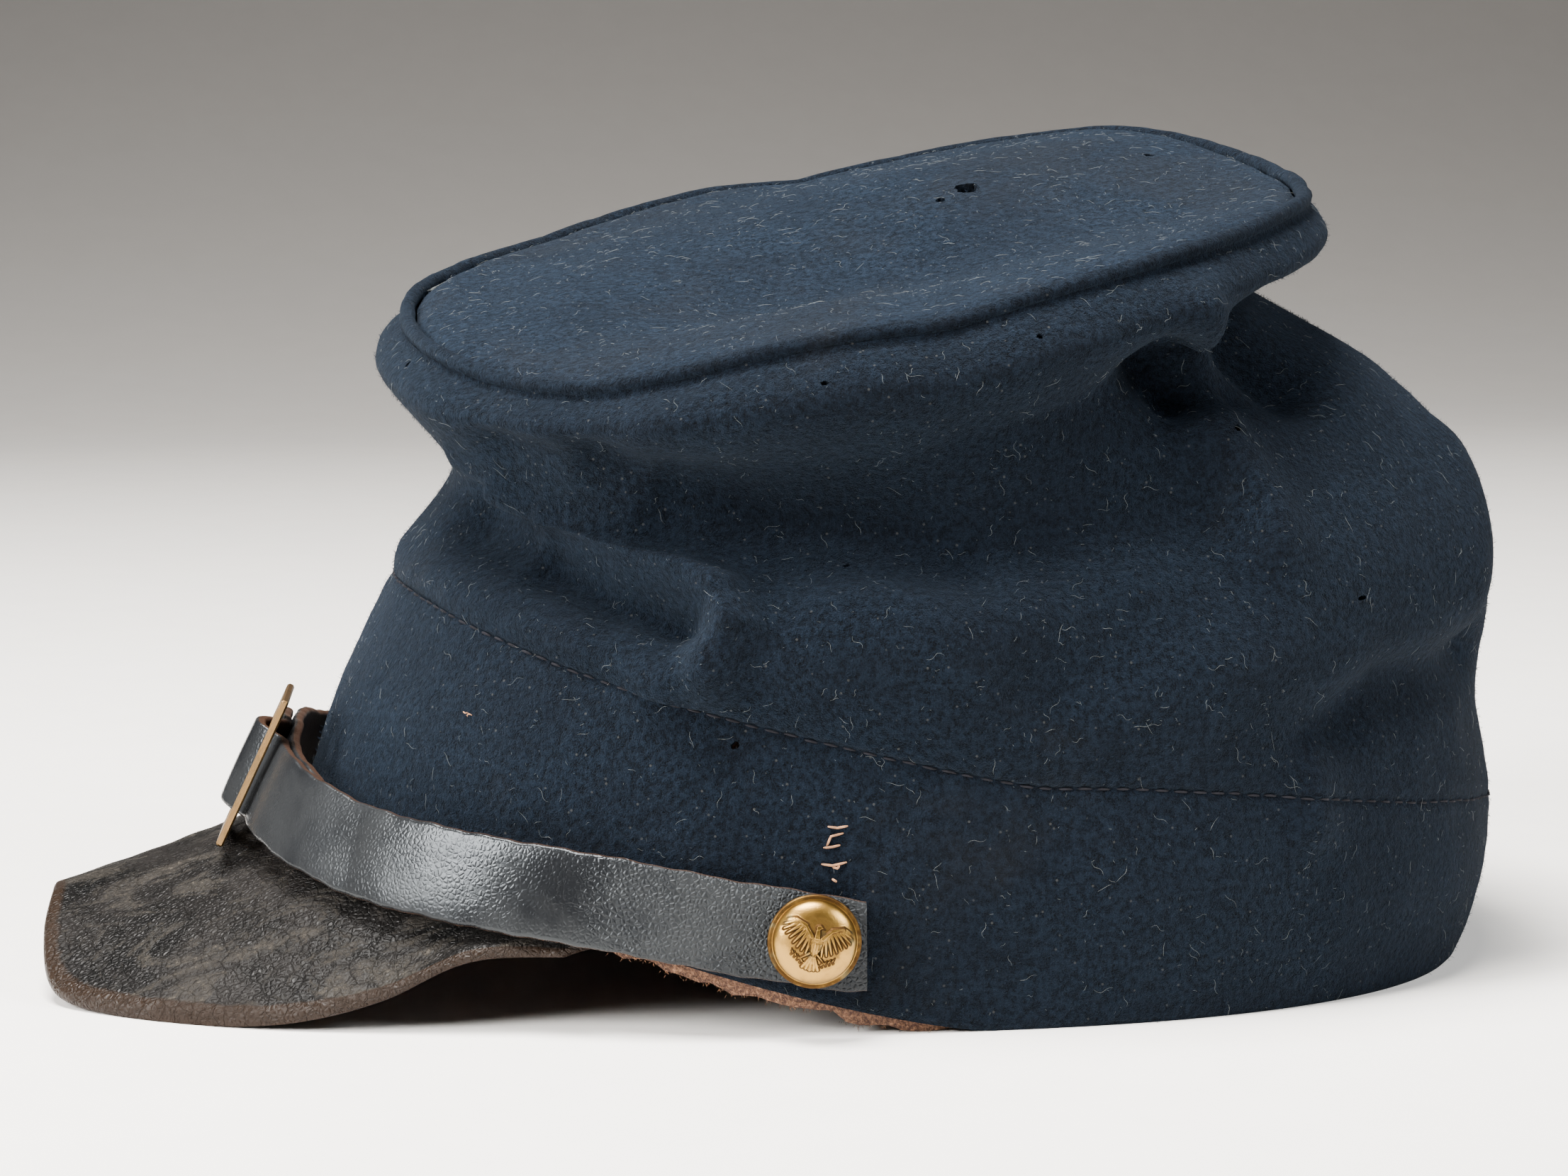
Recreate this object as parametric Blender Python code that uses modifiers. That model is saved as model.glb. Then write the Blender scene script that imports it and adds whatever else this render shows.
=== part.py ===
"""A soft wool forage cap with a leather peak, a buckled chin strap and two brass side buttons.

The cap stands on a flat surface by itself: on the rear of its band and the two corners of its
peak. The front of the cap is towards -Y, the wearer's left is +X and up is +Z.
Sizes below are in millimetres. MM turns them into metres where a mesh is made.
"""
import math

import bmesh
import bpy
import numpy as np
from mathutils import Matrix, Vector

MM = 0.001

# Cap body
BAND_LENGTH = 213.0
BAND_WIDTH = 161.0
BAND_HEIGHT = 40.0
FRONT_LIFT = 30.0
CROWN_RISE = 106.0
TOP_LENGTH = 168.0
TOP_WIDTH = 140.0
CLOTH = 1.8
SEAM_GAP = 0.3
FOLD_DEPTH = 10.0
FOLD_WIDTH = 10.0

# Leather
SWEAT_HEIGHT = 30.0
SWEAT_LEATHER = 1.2
SWEAT_SHOWS = 1.5
PEAK_REACH = 45.0
PEAK_LEATHER = 2.8
PEAK_TIP = 1.4          # thickness at the two tips beside the band
STRAP_WIDTH = 15.5
STRAP_LEATHER = 2.0
STRAP_STANDS = 10.5     # how far it stands off the front of the band
STRAP_LEAN = 25.0       # degrees
STRAP_LAP = 26.0        # how far each half runs on past the buckle

# Cord in the seam round the top
WELT_DIAMETER = 2.8

# Brass
BUCKLE_HEIGHT = 27.5
BUCKLE_LENGTH = 21.0
BUCKLE_PLATE = 1.3
BUCKLE_BAR = 3.0
BUTTON_DIAMETER = 15.3
BUTTON_DOME = 3.1
BUTTON_RIM = 1.6
RELIEF = 0.45

# Samples round the cap, and up each wall
AROUND = 64
SWEAT_STEPS = 3
BAND_STEPS = SWEAT_STEPS + 1
CROWN_STEPS = 14
TOP_STEPS = 7
DOME_STEPS = 6
BUTTON_SIDES = 24

# Places round the cap are turns: 0 front, 0.25 wearer's left, 0.5 back, 0.75 wearer's right.
# Heights at those four places and the four between them, as shares of the size named.
BAND_SHAPE = (0.935, 0.925, 0.990, 0.800, 0.665, 0.800, 0.990, 0.925)     # of BAND_HEIGHT
CROWN_SHAPE = (0.392, 0.422, 0.689, 0.897, 1.012, 1.024, 0.850, 0.575)    # of CROWN_RISE
BOTTOM_FRONT = -0.388  # front and back of the bottom edge, as shares of BAND_LENGTH
BOTTOM_BACK = 0.569
LIFT_STARTS = 0.103    # share of BAND_LENGTH behind the origin where the front edge leaves the floor
LIFT_POWER = 1.3

# Rings up the wall. y and x are shares of the length and width named in the row.
# up: share of the band's height, or of the crown's rise, at front, left, back and right.
# name, part, length, width, front y, back y, left x, right x, squareness, up
RINGS = (
    ("bottom", "band", BAND_LENGTH, BAND_WIDTH, BOTTOM_FRONT, BOTTOM_BACK, 0.500, -0.500, 2.35,
     (0.00, 0.00, 0.00, 0.00)),
    ("middle", "band", BAND_LENGTH, BAND_WIDTH, -0.362, 0.594, 0.500, -0.500, 2.35,
     (0.42, 0.50, 0.50, 0.50)),
    ("seam", "band", BAND_LENGTH, BAND_WIDTH, -0.316, 0.602, 0.484, -0.484, 2.30,
     (1.00, 1.00, 1.00, 1.00)),
    ("tuck", "crown", BAND_LENGTH, BAND_WIDTH, -0.312, 0.585, 0.492, -0.490, 2.30,
     (0.09, 0.10, 0.19, 0.10)),
    ("low", "crown", BAND_LENGTH, BAND_WIDTH, -0.298, 0.596, 0.494, -0.496, 2.25,
     (0.18, 0.24, 0.36, 0.25)),
    ("mid", "crown", BAND_LENGTH, BAND_WIDTH, -0.280, 0.583, 0.474, -0.490, 2.20,
     (0.29, 0.40, 0.54, 0.41)),
    ("high", "crown", BAND_LENGTH, BAND_WIDTH, -0.266, 0.509, 0.436, -0.478, 2.20,
     (0.41, 0.55, 0.71, 0.58)),
    ("hollow", "crown", TOP_LENGTH, TOP_WIDTH, -0.347, 0.466, 0.478, -0.525, 2.20,
     (0.53, 0.71, 0.89, 0.75)),
    ("rim", "crown", TOP_LENGTH, TOP_WIDTH, -0.415, 0.573, 0.524, -0.530, 2.25,
     (0.85, 0.89, 0.95, 0.90)),
    ("top", "crown", TOP_LENGTH, TOP_WIDTH, -0.387, 0.559, 0.488, -0.492, 2.25,
     (1.00, 1.00, 1.00, 1.00)),
)
SEAM_RING = 2
TOP_RING = 9

# Folds in the wall: a ridge (or a hollow, below zero) along the line between two places.
# start turn, start ring, end turn, end ring, height and half width as shares of FOLD_DEPTH and
# FOLD_WIDTH
FOLDS = (
    (0.062, 6.6, 0.092, 6.2, 0.30, 0.90),
    (0.092, 6.2, 0.150, 5.1, 0.42, 0.95),
    (0.150, 5.1, 0.160, 3.4, 0.34, 0.95),
    (0.075, 5.3, 0.132, 4.4, -0.46, 1.05),
    (0.110, 7.2, 0.190, 6.5, -0.48, 1.05),
    (0.190, 6.5, 0.300, 5.8, -0.66, 1.00),
    (0.170, 7.9, 0.290, 7.3, 0.20, 1.00),
    (0.343, 8.3, 0.356, 7.0, 0.48, 0.85),
    (0.330, 7.3, 0.337, 6.8, -0.40, 0.85),
    (0.373, 7.2, 0.386, 6.6, -0.44, 0.95),
    (0.332, 6.5, 0.318, 5.4, 0.40, 0.65),
    (0.300, 4.9, 0.247, 4.0, -0.32, 0.90),
    (0.400, 3.7, 0.325, 3.0, -0.30, 0.65),
    (0.490, 3.1, 0.410, 2.5, -0.28, 0.70),
    (0.325, 2.7, 0.321, 1.8, 0.22, 0.60),
    (0.400, 0.9, 0.460, 0.6, 0.18, 1.10),
    (0.195, 5.0, 0.245, 4.8, 0.18, 1.10),
    (0.440, 5.6, 0.400, 4.4, 0.30, 0.90),
    (0.610, 7.0, 0.860, 6.9, -0.45, 1.10),
    (0.920, 6.8, 0.820, 4.4, 0.38, 0.80),
    (0.700, 5.6, 0.680, 3.4, -0.32, 0.85),
    (0.560, 5.2, 0.590, 3.6, 0.30, 0.90),
)
FOLDS_FADE = 7.6       # ring above which the folds die out towards the rim of the top

# Soft waves and dents in the flat top, as shares of FOLD_DEPTH.
# x and y from the middle, height, half width in x and y: x as shares of TOP_WIDTH, y as shares of
# TOP_LENGTH
TOP_WAVES = (
    (-0.18, 0.10, 0.55, 0.186, 0.286),
    (0.16, 0.00, -0.45, 0.129, 0.298),
    (0.05, -0.30, 0.25, 0.214, 0.083),
    (-0.25, 0.36, 0.30, 0.171, 0.119),
    (0.12, 0.36, -0.30, 0.129, 0.095),
    (0.30, -0.14, 0.15, 0.086, 0.143),
)

# Outer edge of the peak, from its front to the tip beside the band.
# forward and sideways from the band's edge as shares of PEAK_REACH, under side's height as a
# share of FRONT_LIFT
PEAK_EDGE = (
    (0.975, 0.000, 0.390),
    (1.000, 0.104, 0.255),
    (1.000, 0.190, 0.055),
    (0.860, 0.230, 0.000),
    (0.695, 0.245, 0.000),
    (0.520, 0.215, 0.050),
    (0.370, 0.150, 0.180),
    (0.240, 0.085, 0.400),
    (0.110, 0.040, 0.430),
)
PEAK_TURN = 0.158
PEAK_CAMBER = -0.015   # share of PEAK_REACH; the peak is a little hollow
PEAK_THINS_FROM = 0.5  # share of the way to a tip where the leather starts to thin
PEAK_SKEW = 0.05       # how much further forward its left side reaches, as a share of PEAK_REACH
PEAK_SIDE_STEPS = 16
PEAK_STEPS = 5

# Course of the chin strap from the right button round the front to the left one.
# turn (below zero: right), distance off the band's edge as a share of STRAP_STANDS, height as a
# share of BAND_HEIGHT, lean as a share of STRAP_LEAN
STRAP_COURSE = (
    (-0.245, 0.21, 0.345, 0.18),
    (-0.212, 0.21, 0.425, 0.18),
    (-0.165, 0.34, 0.565, 0.36),
    (-0.120, 0.48, 0.640, 0.59),
    (-0.080, 0.56, 0.740, 0.82),
    (-0.040, 0.56, 0.850, 1.00),
    (0.000, 0.64, 0.905, 1.00),
    (0.030, 0.98, 0.868, 1.00),
    (0.050, 0.98, 0.790, 0.92),
    (0.080, 0.73, 0.685, 0.80),
    (0.120, 0.50, 0.620, 0.59),
    (0.165, 0.34, 0.548, 0.36),
    (0.212, 0.21, 0.425, 0.18),
    (0.245, 0.21, 0.345, 0.18),
)
BUTTON_TURN = 0.217
BUCKLE_TURN = 0.016
STRAP_END_TURN = 0.229
STRAP_NEAR = 0.002     # turn between two close places on the course
STRAP_STEPS = 46
WEAVE_STEPS = 17       # more samples of the strap beside the buckle

# Raised figure on the buttons: a shield and one of its two wings, as shares of the button's radius
SHIELD = ((-0.20, 0.22), (0.20, 0.22), (0.20, -0.08), (0.00, -0.32), (-0.20, -0.08))
WING = ((0.27, 0.18), (0.45, 0.50), (0.66, 0.42), (0.62, 0.05), (0.46, -0.22), (0.27, -0.10))
RIM_EDGES = (0.8, 0.3)    # heights of the rim's two edges, as shares of BUTTON_RIM

CLOTH_COLOUR = (0.022, 0.036, 0.062)
PEAK_COLOUR = (0.020, 0.017, 0.016)
STRAP_COLOUR = (0.050, 0.050, 0.052)
SWEAT_COLOUR = (0.280, 0.150, 0.080)
BRASS_COLOUR = (0.420, 0.270, 0.110)
BUTTON_COLOUR = (0.560, 0.360, 0.130)


def cubic(before, start, end, after, along):
    """Value on the smooth curve between start and end, whose neighbours are given too."""
    slope = end - before
    bend = 2 * before - 5 * start + 4 * end - after
    twist = 3 * (start - end) + after - before
    return start + 0.5 * along * (slope + along * (bend + along * twist))


def round_loop(values, turns):
    """Smooth curve round a closed loop of evenly spaced values."""
    values = np.asarray(values, float)
    count = len(values)
    place = np.mod(turns, 1.0) * count
    cell = np.floor(place).astype(int)
    near = [values[(cell + step) % count] for step in (-1, 0, 1, 2)]
    return cubic(*near, place - cell)


def up_rows(rows, level):
    """Smooth curve through rows of points, at a level counted in rows."""
    last = len(rows) - 1
    cell = min(int(level), last - 1)
    near = [rows[min(max(cell + step, 0), last)] for step in (-1, 0, 1, 2)]
    return cubic(*near, level - cell)


def smooth_table(table, place):
    """Row read from a table whose first column is the place, by a smooth curve."""
    table = np.asarray(table, float)
    places = table[:, 0]
    place = min(max(place, places[0]), places[-1])
    cell = min(int(np.searchsorted(places, place, side="right")) - 1, len(places) - 2)
    along = (place - places[cell]) / (places[cell + 1] - places[cell])
    last = len(places) - 1
    near = [table[min(max(cell + step, 0), last), 1:] for step in (-1, 0, 1, 2)]
    return cubic(*near, along)


def signed_power(value, power):
    return np.sign(value) * np.abs(value) ** power


def front_lift(y):
    """Height of the bottom edge, which rises in a curve towards the front."""
    start = LIFT_STARTS * BAND_LENGTH
    front = BOTTOM_FRONT * BAND_LENGTH
    share = np.clip((start - y) / (start - front), 0.0, None)
    return FRONT_LIFT * share ** LIFT_POWER


def ring_points(row, turns):
    """Points round one ring of the table."""
    name, part, length, width, front, back, left, right, square, up = row
    angle = 2 * math.pi * turns
    across = signed_power(np.sin(angle), 2 / square)
    along = -signed_power(np.cos(angle), 2 / square)
    x = np.where(across > 0, left, -right) * width * across
    y = length * ((front + back) / 2 + (back - front) / 2 * along)
    middle = (BOTTOM_FRONT + BOTTOM_BACK) / 2
    floor_edge = BAND_LENGTH * (middle + (BOTTOM_BACK - middle) * along)
    seam_rise = BAND_HEIGHT * round_loop(BAND_SHAPE, turns)
    rise = round_loop(up, turns)
    if part == "band":
        z = front_lift(floor_edge) + rise * seam_rise
    else:
        z = front_lift(floor_edge) + seam_rise + rise * CROWN_RISE * round_loop(CROWN_SHAPE, turns)
    return np.stack([x, y, z], axis=-1)


def wall_directions(points, levels):
    """Outward directions of the wall, turned level at the floor so that its edge stays flat."""
    around = np.roll(points, -1, axis=1) - np.roll(points, 1, axis=1)
    upward = np.gradient(points, axis=0)
    outward = np.cross(around, upward)
    outward[..., 2] *= np.clip(np.asarray(levels) / SEAM_RING, 0.0, 1.0)[:, None]
    return outward / np.linalg.norm(outward, axis=-1, keepdims=True)


def line_distance(points, start, end):
    """Distance of each point from the straight line between two places."""
    line = end - start
    share = np.clip((points - start) @ line / max(line @ line, 1e-9), 0.0, 1.0)
    return np.linalg.norm(points - start - share[..., None] * line, axis=-1)


def cap_wall():
    """Levels, points and outward directions of the folded outer wall, from floor to top."""
    turns = np.arange(AROUND) / AROUND
    rows = [ring_points(row, turns) for row in RINGS]
    sweat_top = SEAM_RING * SWEAT_HEIGHT / BAND_HEIGHT
    levels = np.concatenate([
        np.linspace(0, sweat_top, SWEAT_STEPS + 1),
        [SEAM_RING],
        np.linspace(SEAM_RING, TOP_RING, CROWN_STEPS + 1)[1:],
    ])
    points = np.array([up_rows(rows, level) for level in levels])
    outward = wall_directions(points, levels)
    push = np.zeros(points.shape[:2])
    for start_turn, start_ring, end_turn, end_ring, height, half_width in FOLDS:
        start = up_rows([ring_points(row, np.array([start_turn]))[0] for row in RINGS], start_ring)
        end = up_rows([ring_points(row, np.array([end_turn]))[0] for row in RINGS], end_ring)
        away = line_distance(points, start, end)
        push += height * FOLD_DEPTH * np.exp(-(away / (half_width * FOLD_WIDTH)) ** 2)
    fade = np.clip((TOP_RING - levels) / (TOP_RING - FOLDS_FADE), 0.0, 1.0)
    push *= (fade * fade * (3 - 2 * fade))[:, None]
    points = points + push[..., None] * outward
    return levels, points, wall_directions(points, levels)


def add_mesh(name, vertices, faces, material, smooth=True):
    """Make an object of faces, with every face turned outwards."""
    mesh = bpy.data.meshes.new(name)
    mesh.from_pydata([tuple(float(c) * MM for c in v) for v in vertices], [], faces)
    shape = bmesh.new()
    shape.from_mesh(mesh)
    bmesh.ops.recalc_face_normals(shape, faces=shape.faces)
    shape.to_mesh(mesh)
    shape.free()
    if smooth:
        mesh.shade_smooth()
        mesh.set_sharp_from_angle(angle=math.radians(50))
    piece = bpy.data.objects.new(name, mesh)
    mesh.materials.append(material)
    CAP.objects.link(piece)
    return piece


def halves(quad, turned):
    """Two triangles of a quad, always cut along the same diagonal, turned over if asked."""
    first = (quad[0], quad[1], quad[2])
    second = (quad[0], quad[2], quad[3])
    return (first[::-1], second[::-1]) if turned else (first, second)


def shell_mesh(name, outer, inner, material):
    """Closed wall between an outer and an inner sleeve, both with rings of the same count."""
    rings, count = outer.shape[:2]
    vertices = np.concatenate([outer.reshape(-1, 3), inner.reshape(-1, 3)])
    faces = []
    for sleeve in (0, 1):
        base = sleeve * rings * count
        for ring in range(rings - 1):
            for step in range(count):
                here = base + ring * count
                following = (step + 1) % count
                quad = (here + step, here + following, here + count + following,
                        here + count + step)
                faces.extend(halves(quad, sleeve == 1))
    for edge in (0, (rings - 1) * count):
        for step in range(count):
            following = (step + 1) % count
            inside = rings * count + edge
            faces.append((edge + step, edge + following, inside + following, inside + step))
    return add_mesh(name, vertices, faces, material)


def slab_mesh(name, upper, lower, material):
    """Closed slab between two open grids of points."""
    rows, columns = upper.shape[:2]
    vertices = np.concatenate([upper.reshape(-1, 3), lower.reshape(-1, 3)])
    other = rows * columns
    faces = []
    for row in range(rows - 1):
        for column in range(columns - 1):
            corner = row * columns + column
            quad = (corner, corner + 1, corner + columns + 1, corner + columns)
            faces.extend(halves(quad, False))
            faces.extend(halves(tuple(other + place for place in quad), True))
    rim = list(range(columns))
    rim += [row * columns + columns - 1 for row in range(1, rows)]
    rim += [(rows - 1) * columns + column for column in range(columns - 2, -1, -1)]
    rim += [row * columns for row in range(rows - 2, 0, -1)]
    for here, following in zip(rim, rim[1:] + rim[:1]):
        faces.append((here, following, other + following, other + here))
    return add_mesh(name, vertices, faces, material)


def ribbon_mesh(name, centres, outwards, ups, width, thickness, material):
    """Flat strap of a square-edged section along a line of centres."""
    corners = ((0.5, -0.5), (0.5, 0.5), (-0.5, 0.5), (-0.5, -0.5))
    vertices = []
    for centre, outward, up in zip(centres, outwards, ups):
        for out_share, up_share in corners:
            vertices.append(centre + outward * out_share * thickness + up * up_share * width)
    faces = [(3, 2, 1, 0)]
    for step in range(len(centres) - 1):
        for corner in range(4):
            following = (corner + 1) % 4
            here = 4 * step
            faces.append((here + corner, here + following, here + 4 + following, here + 4 + corner))
    last = 4 * (len(centres) - 1)
    faces.append((last, last + 1, last + 2, last + 3))
    return add_mesh(name, vertices, faces, material)


def finish(name, colour, roughness, metallic=0.0):
    """Plain material of one part."""
    material = bpy.data.materials.new(name)
    material.use_nodes = True
    shader = material.node_tree.nodes["Principled BSDF"]
    shader.inputs["Base Color"].default_value = (*colour, 1.0)
    shader.inputs["Roughness"].default_value = roughness
    shader.inputs["Metallic"].default_value = metallic
    return material


def level_outward(ring):
    """Level outward directions round a closed ring of points."""
    around = np.roll(ring, -1, axis=0) - np.roll(ring, 1, axis=0)
    outward = np.stack([around[:, 1], -around[:, 0], np.zeros(len(ring))], axis=-1)
    return outward / np.linalg.norm(outward, axis=1, keepdims=True)


def make_band(levels, points, outward):
    """Cloth band round the head, flat where it stands."""
    rows = BAND_STEPS + 1
    outer = points[:rows]
    return shell_mesh("band", outer, outer - CLOTH * outward[:rows],
                      finish("band_wool", CLOTH_COLOUR, 0.95))


def make_crown_side(levels, points, outward):
    """Crumpled cloth wall from the band up to the flat top."""
    outer = points[BAND_STEPS:].copy()
    inner = outer - CLOTH * outward[BAND_STEPS:]
    for sheet in (outer, inner):
        upward = sheet[1] - sheet[0]
        sheet[0] += SEAM_GAP * upward / np.linalg.norm(upward, axis=1, keepdims=True)
    return shell_mesh("crown_side", outer, inner, finish("crown_wool", CLOTH_COLOUR, 0.95))


def make_sweatband(levels, points, outward):
    """Leather lining strip inside the band, a little lower than it where the front is lifted."""
    rows = SWEAT_STEPS + 1
    wall = points[:rows].copy()
    facing = outward[:rows]
    wall[0, :, 2] -= np.minimum(wall[0, :, 2], SWEAT_SHOWS)
    outer = wall - (CLOTH + SEAM_GAP) * facing
    inner = outer - SWEAT_LEATHER * facing
    return shell_mesh("sweatband", outer, inner, finish("sweat_leather", SWEAT_COLOUR, 0.8))


def top_edge(points):
    """Middle line of the welt: it sits on the rim of the crown's wall."""
    rim = points[-1]
    centre = rim - 0.5 * CLOTH * level_outward(rim)
    centre[:, 2] += SEAM_GAP + WELT_DIAMETER / 2
    return centre


def make_welt(points):
    """Covered cord in the seam round the top."""
    line = bpy.data.curves.new("welt", "CURVE")
    line.dimensions = "3D"
    line.bevel_depth = WELT_DIAMETER / 2 * MM
    line.bevel_resolution = 1
    spline = line.splines.new("POLY")
    centres = top_edge(points)
    spline.points.add(len(centres) - 1)
    for point, centre in zip(spline.points, centres):
        point.co = (*(float(c) * MM for c in centre), 1.0)
    spline.use_cyclic_u = True
    line.materials.append(finish("welt_wool", CLOTH_COLOUR, 0.95))
    piece = bpy.data.objects.new("welt", line)
    CAP.objects.link(piece)
    return piece


def make_top(points):
    """Flat top of the crown, warped and dented like the cloth it is."""
    edge = top_edge(points)
    edge = edge - (WELT_DIAMETER / 2 + SEAM_GAP) * level_outward(edge)
    middle = edge.mean(axis=0)
    slope, _, _, _ = np.linalg.lstsq(
        np.column_stack([edge[:, :2] - middle[:2], np.ones(len(edge))]), edge[:, 2], rcond=None)
    tilt = (edge[:, :2] - middle[:2]) @ slope[:2] + slope[2]
    above_plane = edge[:, 2] - tilt
    rings = []
    for step in range(TOP_STEPS, 0, -1):
        share = step / TOP_STEPS
        ring = middle + share * (edge - middle)
        ring[:, 2] = (ring[:, :2] - middle[:2]) @ slope[:2] + slope[2] + above_plane * share ** 2.5
        fade = 1 - share ** 4
        for x_share, y_share, height, x_half, y_half in TOP_WAVES:
            offset_x = ((ring[:, 0] - middle[0]) / TOP_WIDTH - x_share) / x_half
            offset_y = ((ring[:, 1] - middle[1]) / TOP_LENGTH - y_share) / y_half
            ring[:, 2] += fade * height * FOLD_DEPTH * np.exp(-offset_x ** 2 - offset_y ** 2)
        rings.append(ring)
    centre = np.array([middle[0], middle[1], rings[-1][:, 2].mean()])
    count = len(edge)
    vertices = []
    for side in (0.5, -0.5):
        for ring in rings:
            vertices.extend(ring + [0, 0, side * CLOTH])
        vertices.append(centre + [0, 0, side * CLOTH])
    under = len(vertices) // 2
    faces = []
    for side in (0, 1):
        base = side * under
        for ring in range(TOP_STEPS - 1):
            for step in range(count):
                following = (step + 1) % count
                here = base + ring * count
                quad = (here + step, here + following, here + count + following,
                        here + count + step)
                faces.append(quad if side == 0 else quad[::-1])
        here = base + (TOP_STEPS - 1) * count
        for step in range(count):
            triangle = (here + step, here + (step + 1) % count, base + under - 1)
            faces.append(triangle if side == 0 else triangle[::-1])
    for step in range(count):
        following = (step + 1) % count
        faces.append((step, under + step, under + following, following))
    return add_mesh("crown_top", vertices, faces, finish("top_wool", CLOTH_COLOUR, 0.95))


def make_peak():
    """Leather peak: a crescent from the band's lifted front edge down to the surface."""
    places = np.linspace(-1, 1, 2 * PEAK_SIDE_STEPS + 1)
    turns = PEAK_TURN * places
    ring = ring_points(RINGS[0], turns)
    ahead = ring_points(RINGS[0], turns + 0.001)
    behind = ring_points(RINGS[0], turns - 0.001)
    along = ahead - behind
    outward = np.stack([along[:, 1], -along[:, 0], np.zeros(len(along))], axis=-1)
    outward /= np.linalg.norm(outward, axis=1, keepdims=True)
    table = [(place, *row) for place, row in zip(np.linspace(0, 1, len(PEAK_EDGE)), PEAK_EDGE)]
    table.insert(0, (-table[1][0], table[1][1], -table[1][2], table[1][3]))
    upper, lower = [], []
    for place, inside, facing in zip(places, ring, outward):
        forward, sideways, height = smooth_table(table, abs(place))
        forward += PEAK_SKEW * math.sin(math.pi * min(max(2 * place, -1.0), 1.0))
        thinned = max(abs(place) - PEAK_THINS_FROM, 0.0) / (1 - PEAK_THINS_FROM)
        thickness = PEAK_LEATHER + (PEAK_TIP - PEAK_LEATHER) * thinned
        start = inside - CLOTH * facing
        start[2] = front_lift(inside[1]) - SEAM_GAP
        end = inside + PEAK_REACH * np.array([math.copysign(sideways, place), -forward, 0.0])
        end[2] = max(height, 0.0) * FRONT_LIFT + thickness
        shares = np.linspace(0, 1, PEAK_STEPS + 1)[:, None]
        line = start + shares * (end - start)
        line[:, 2] += PEAK_CAMBER * PEAK_REACH * np.sin(math.pi * shares[:, 0]) * forward
        upper.append(line)
        lower.append(line - [0, 0, thickness])
    return slab_mesh("peak", np.array(upper), np.array(lower),
                     finish("peak_leather", PEAK_COLOUR, 0.45))


def strap_centre(turn):
    """Middle of the strap at a turn, and its lean."""
    standoff, height, lean = smooth_table(STRAP_COURSE, turn)
    here, ahead, behind = ring_points(RINGS[0], turn + STRAP_NEAR * np.array([0, 1, -1]))
    centre = here + level_across(ahead - behind) * standoff * STRAP_STANDS
    centre[2] = height * BAND_HEIGHT
    return centre, math.radians(lean * STRAP_LEAN)


def level_across(along):
    """Level direction at right angles to a line, outwards where the line runs to the left."""
    outward = np.array([along[1], -along[0], 0.0])
    return outward / np.linalg.norm(outward)


def strap_frame(turn):
    """Centre, outward and up directions of the strap's course at a turn (below zero: right)."""
    centre, lean = strap_centre(turn)
    level = level_across(strap_centre(turn + STRAP_NEAR)[0] - strap_centre(turn - STRAP_NEAR)[0])
    outward = level * math.cos(lean) + np.array([0, 0, math.sin(lean)])
    up = -level * math.sin(lean) + np.array([0, 0, math.cos(lean)])
    return centre, outward, up


def strap_half(name, first_turn, last_turn, layer, material):
    """One half of the strap. layer gives how far out it lies, from the distance to the buckle."""
    buckle_centre = strap_frame(BUCKLE_TURN)[0]
    weave = BUCKLE_LENGTH / strap_speed()
    turns = np.concatenate([
        np.linspace(first_turn, last_turn, STRAP_STEPS),
        BUCKLE_TURN + np.linspace(-weave, weave, WEAVE_STEPS),
    ])
    turns = np.unique(np.clip(turns, first_turn, last_turn).round(5))
    centres, outwards, ups = [], [], []
    for turn in turns:
        centre, outward, up = strap_frame(turn)
        away = math.copysign(np.linalg.norm(centre - buckle_centre), turn - BUCKLE_TURN)
        centres.append(centre + outward * layer(away))
        outwards.append(outward)
        ups.append(up)
    return ribbon_mesh(name, centres, outwards, ups, STRAP_WIDTH, STRAP_LEATHER, material)


def step_between(value, start, end):
    """Smooth step from 0 at start to 1 at end."""
    share = min(max((value - start) / (end - start), 0.0), 1.0)
    return share * share * (3 - 2 * share)


def make_straps():
    """Both halves of the chin strap: the left one is woven through the buckle."""
    material = finish("strap_leather", STRAP_COLOUR, 0.5)
    over_bar = BUCKLE_PLATE + STRAP_LEATHER + 3 * SEAM_GAP
    slot_start = BUCKLE_BAR / 2
    slot_end = BUCKLE_LENGTH / 2 - BUCKLE_BAR

    def left_layer(away):
        return over_bar * (1 - step_between(abs(away), slot_start, slot_end))

    def right_layer(away):
        under = STRAP_LEATHER + SEAM_GAP
        return -under * (1 - step_between(-away, STRAP_LAP, 2 * STRAP_LAP))

    lap_turn = STRAP_LAP / strap_speed()
    left = strap_half("strap_left", BUCKLE_TURN - lap_turn, STRAP_END_TURN, left_layer, material)
    right = strap_half("strap_right", -STRAP_END_TURN, BUCKLE_TURN + lap_turn, right_layer, material)
    return left, right


def strap_speed():
    """Millimetres of strap in one turn, at the buckle."""
    ahead = strap_centre(BUCKLE_TURN + STRAP_NEAR)[0]
    behind = strap_centre(BUCKLE_TURN - STRAP_NEAR)[0]
    return np.linalg.norm(ahead - behind) / (2 * STRAP_NEAR)


def frame_matrix(centre, outward, up):
    """Placement whose local Z is outward and local Y is up."""
    outward = Vector(outward).normalized()
    up = Vector(up).normalized()
    across = up.cross(outward).normalized()
    rotation = Matrix((across, up, outward)).transposed().to_4x4()
    return Matrix.Translation(Vector([float(c) * MM for c in centre])) @ rotation


def add_box(name, size, centre, collection):
    """Block of the given size (mm) about a centre."""
    mesh = bpy.data.meshes.new(name)
    shape = bmesh.new()
    bmesh.ops.create_cube(shape, size=1.0)
    bmesh.ops.scale(shape, vec=[s * MM for s in size], verts=shape.verts)
    bmesh.ops.translate(shape, vec=[c * MM for c in centre], verts=shape.verts)
    shape.to_mesh(mesh)
    shape.free()
    block = bpy.data.objects.new(name, mesh)
    collection.objects.link(block)
    return block


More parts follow.
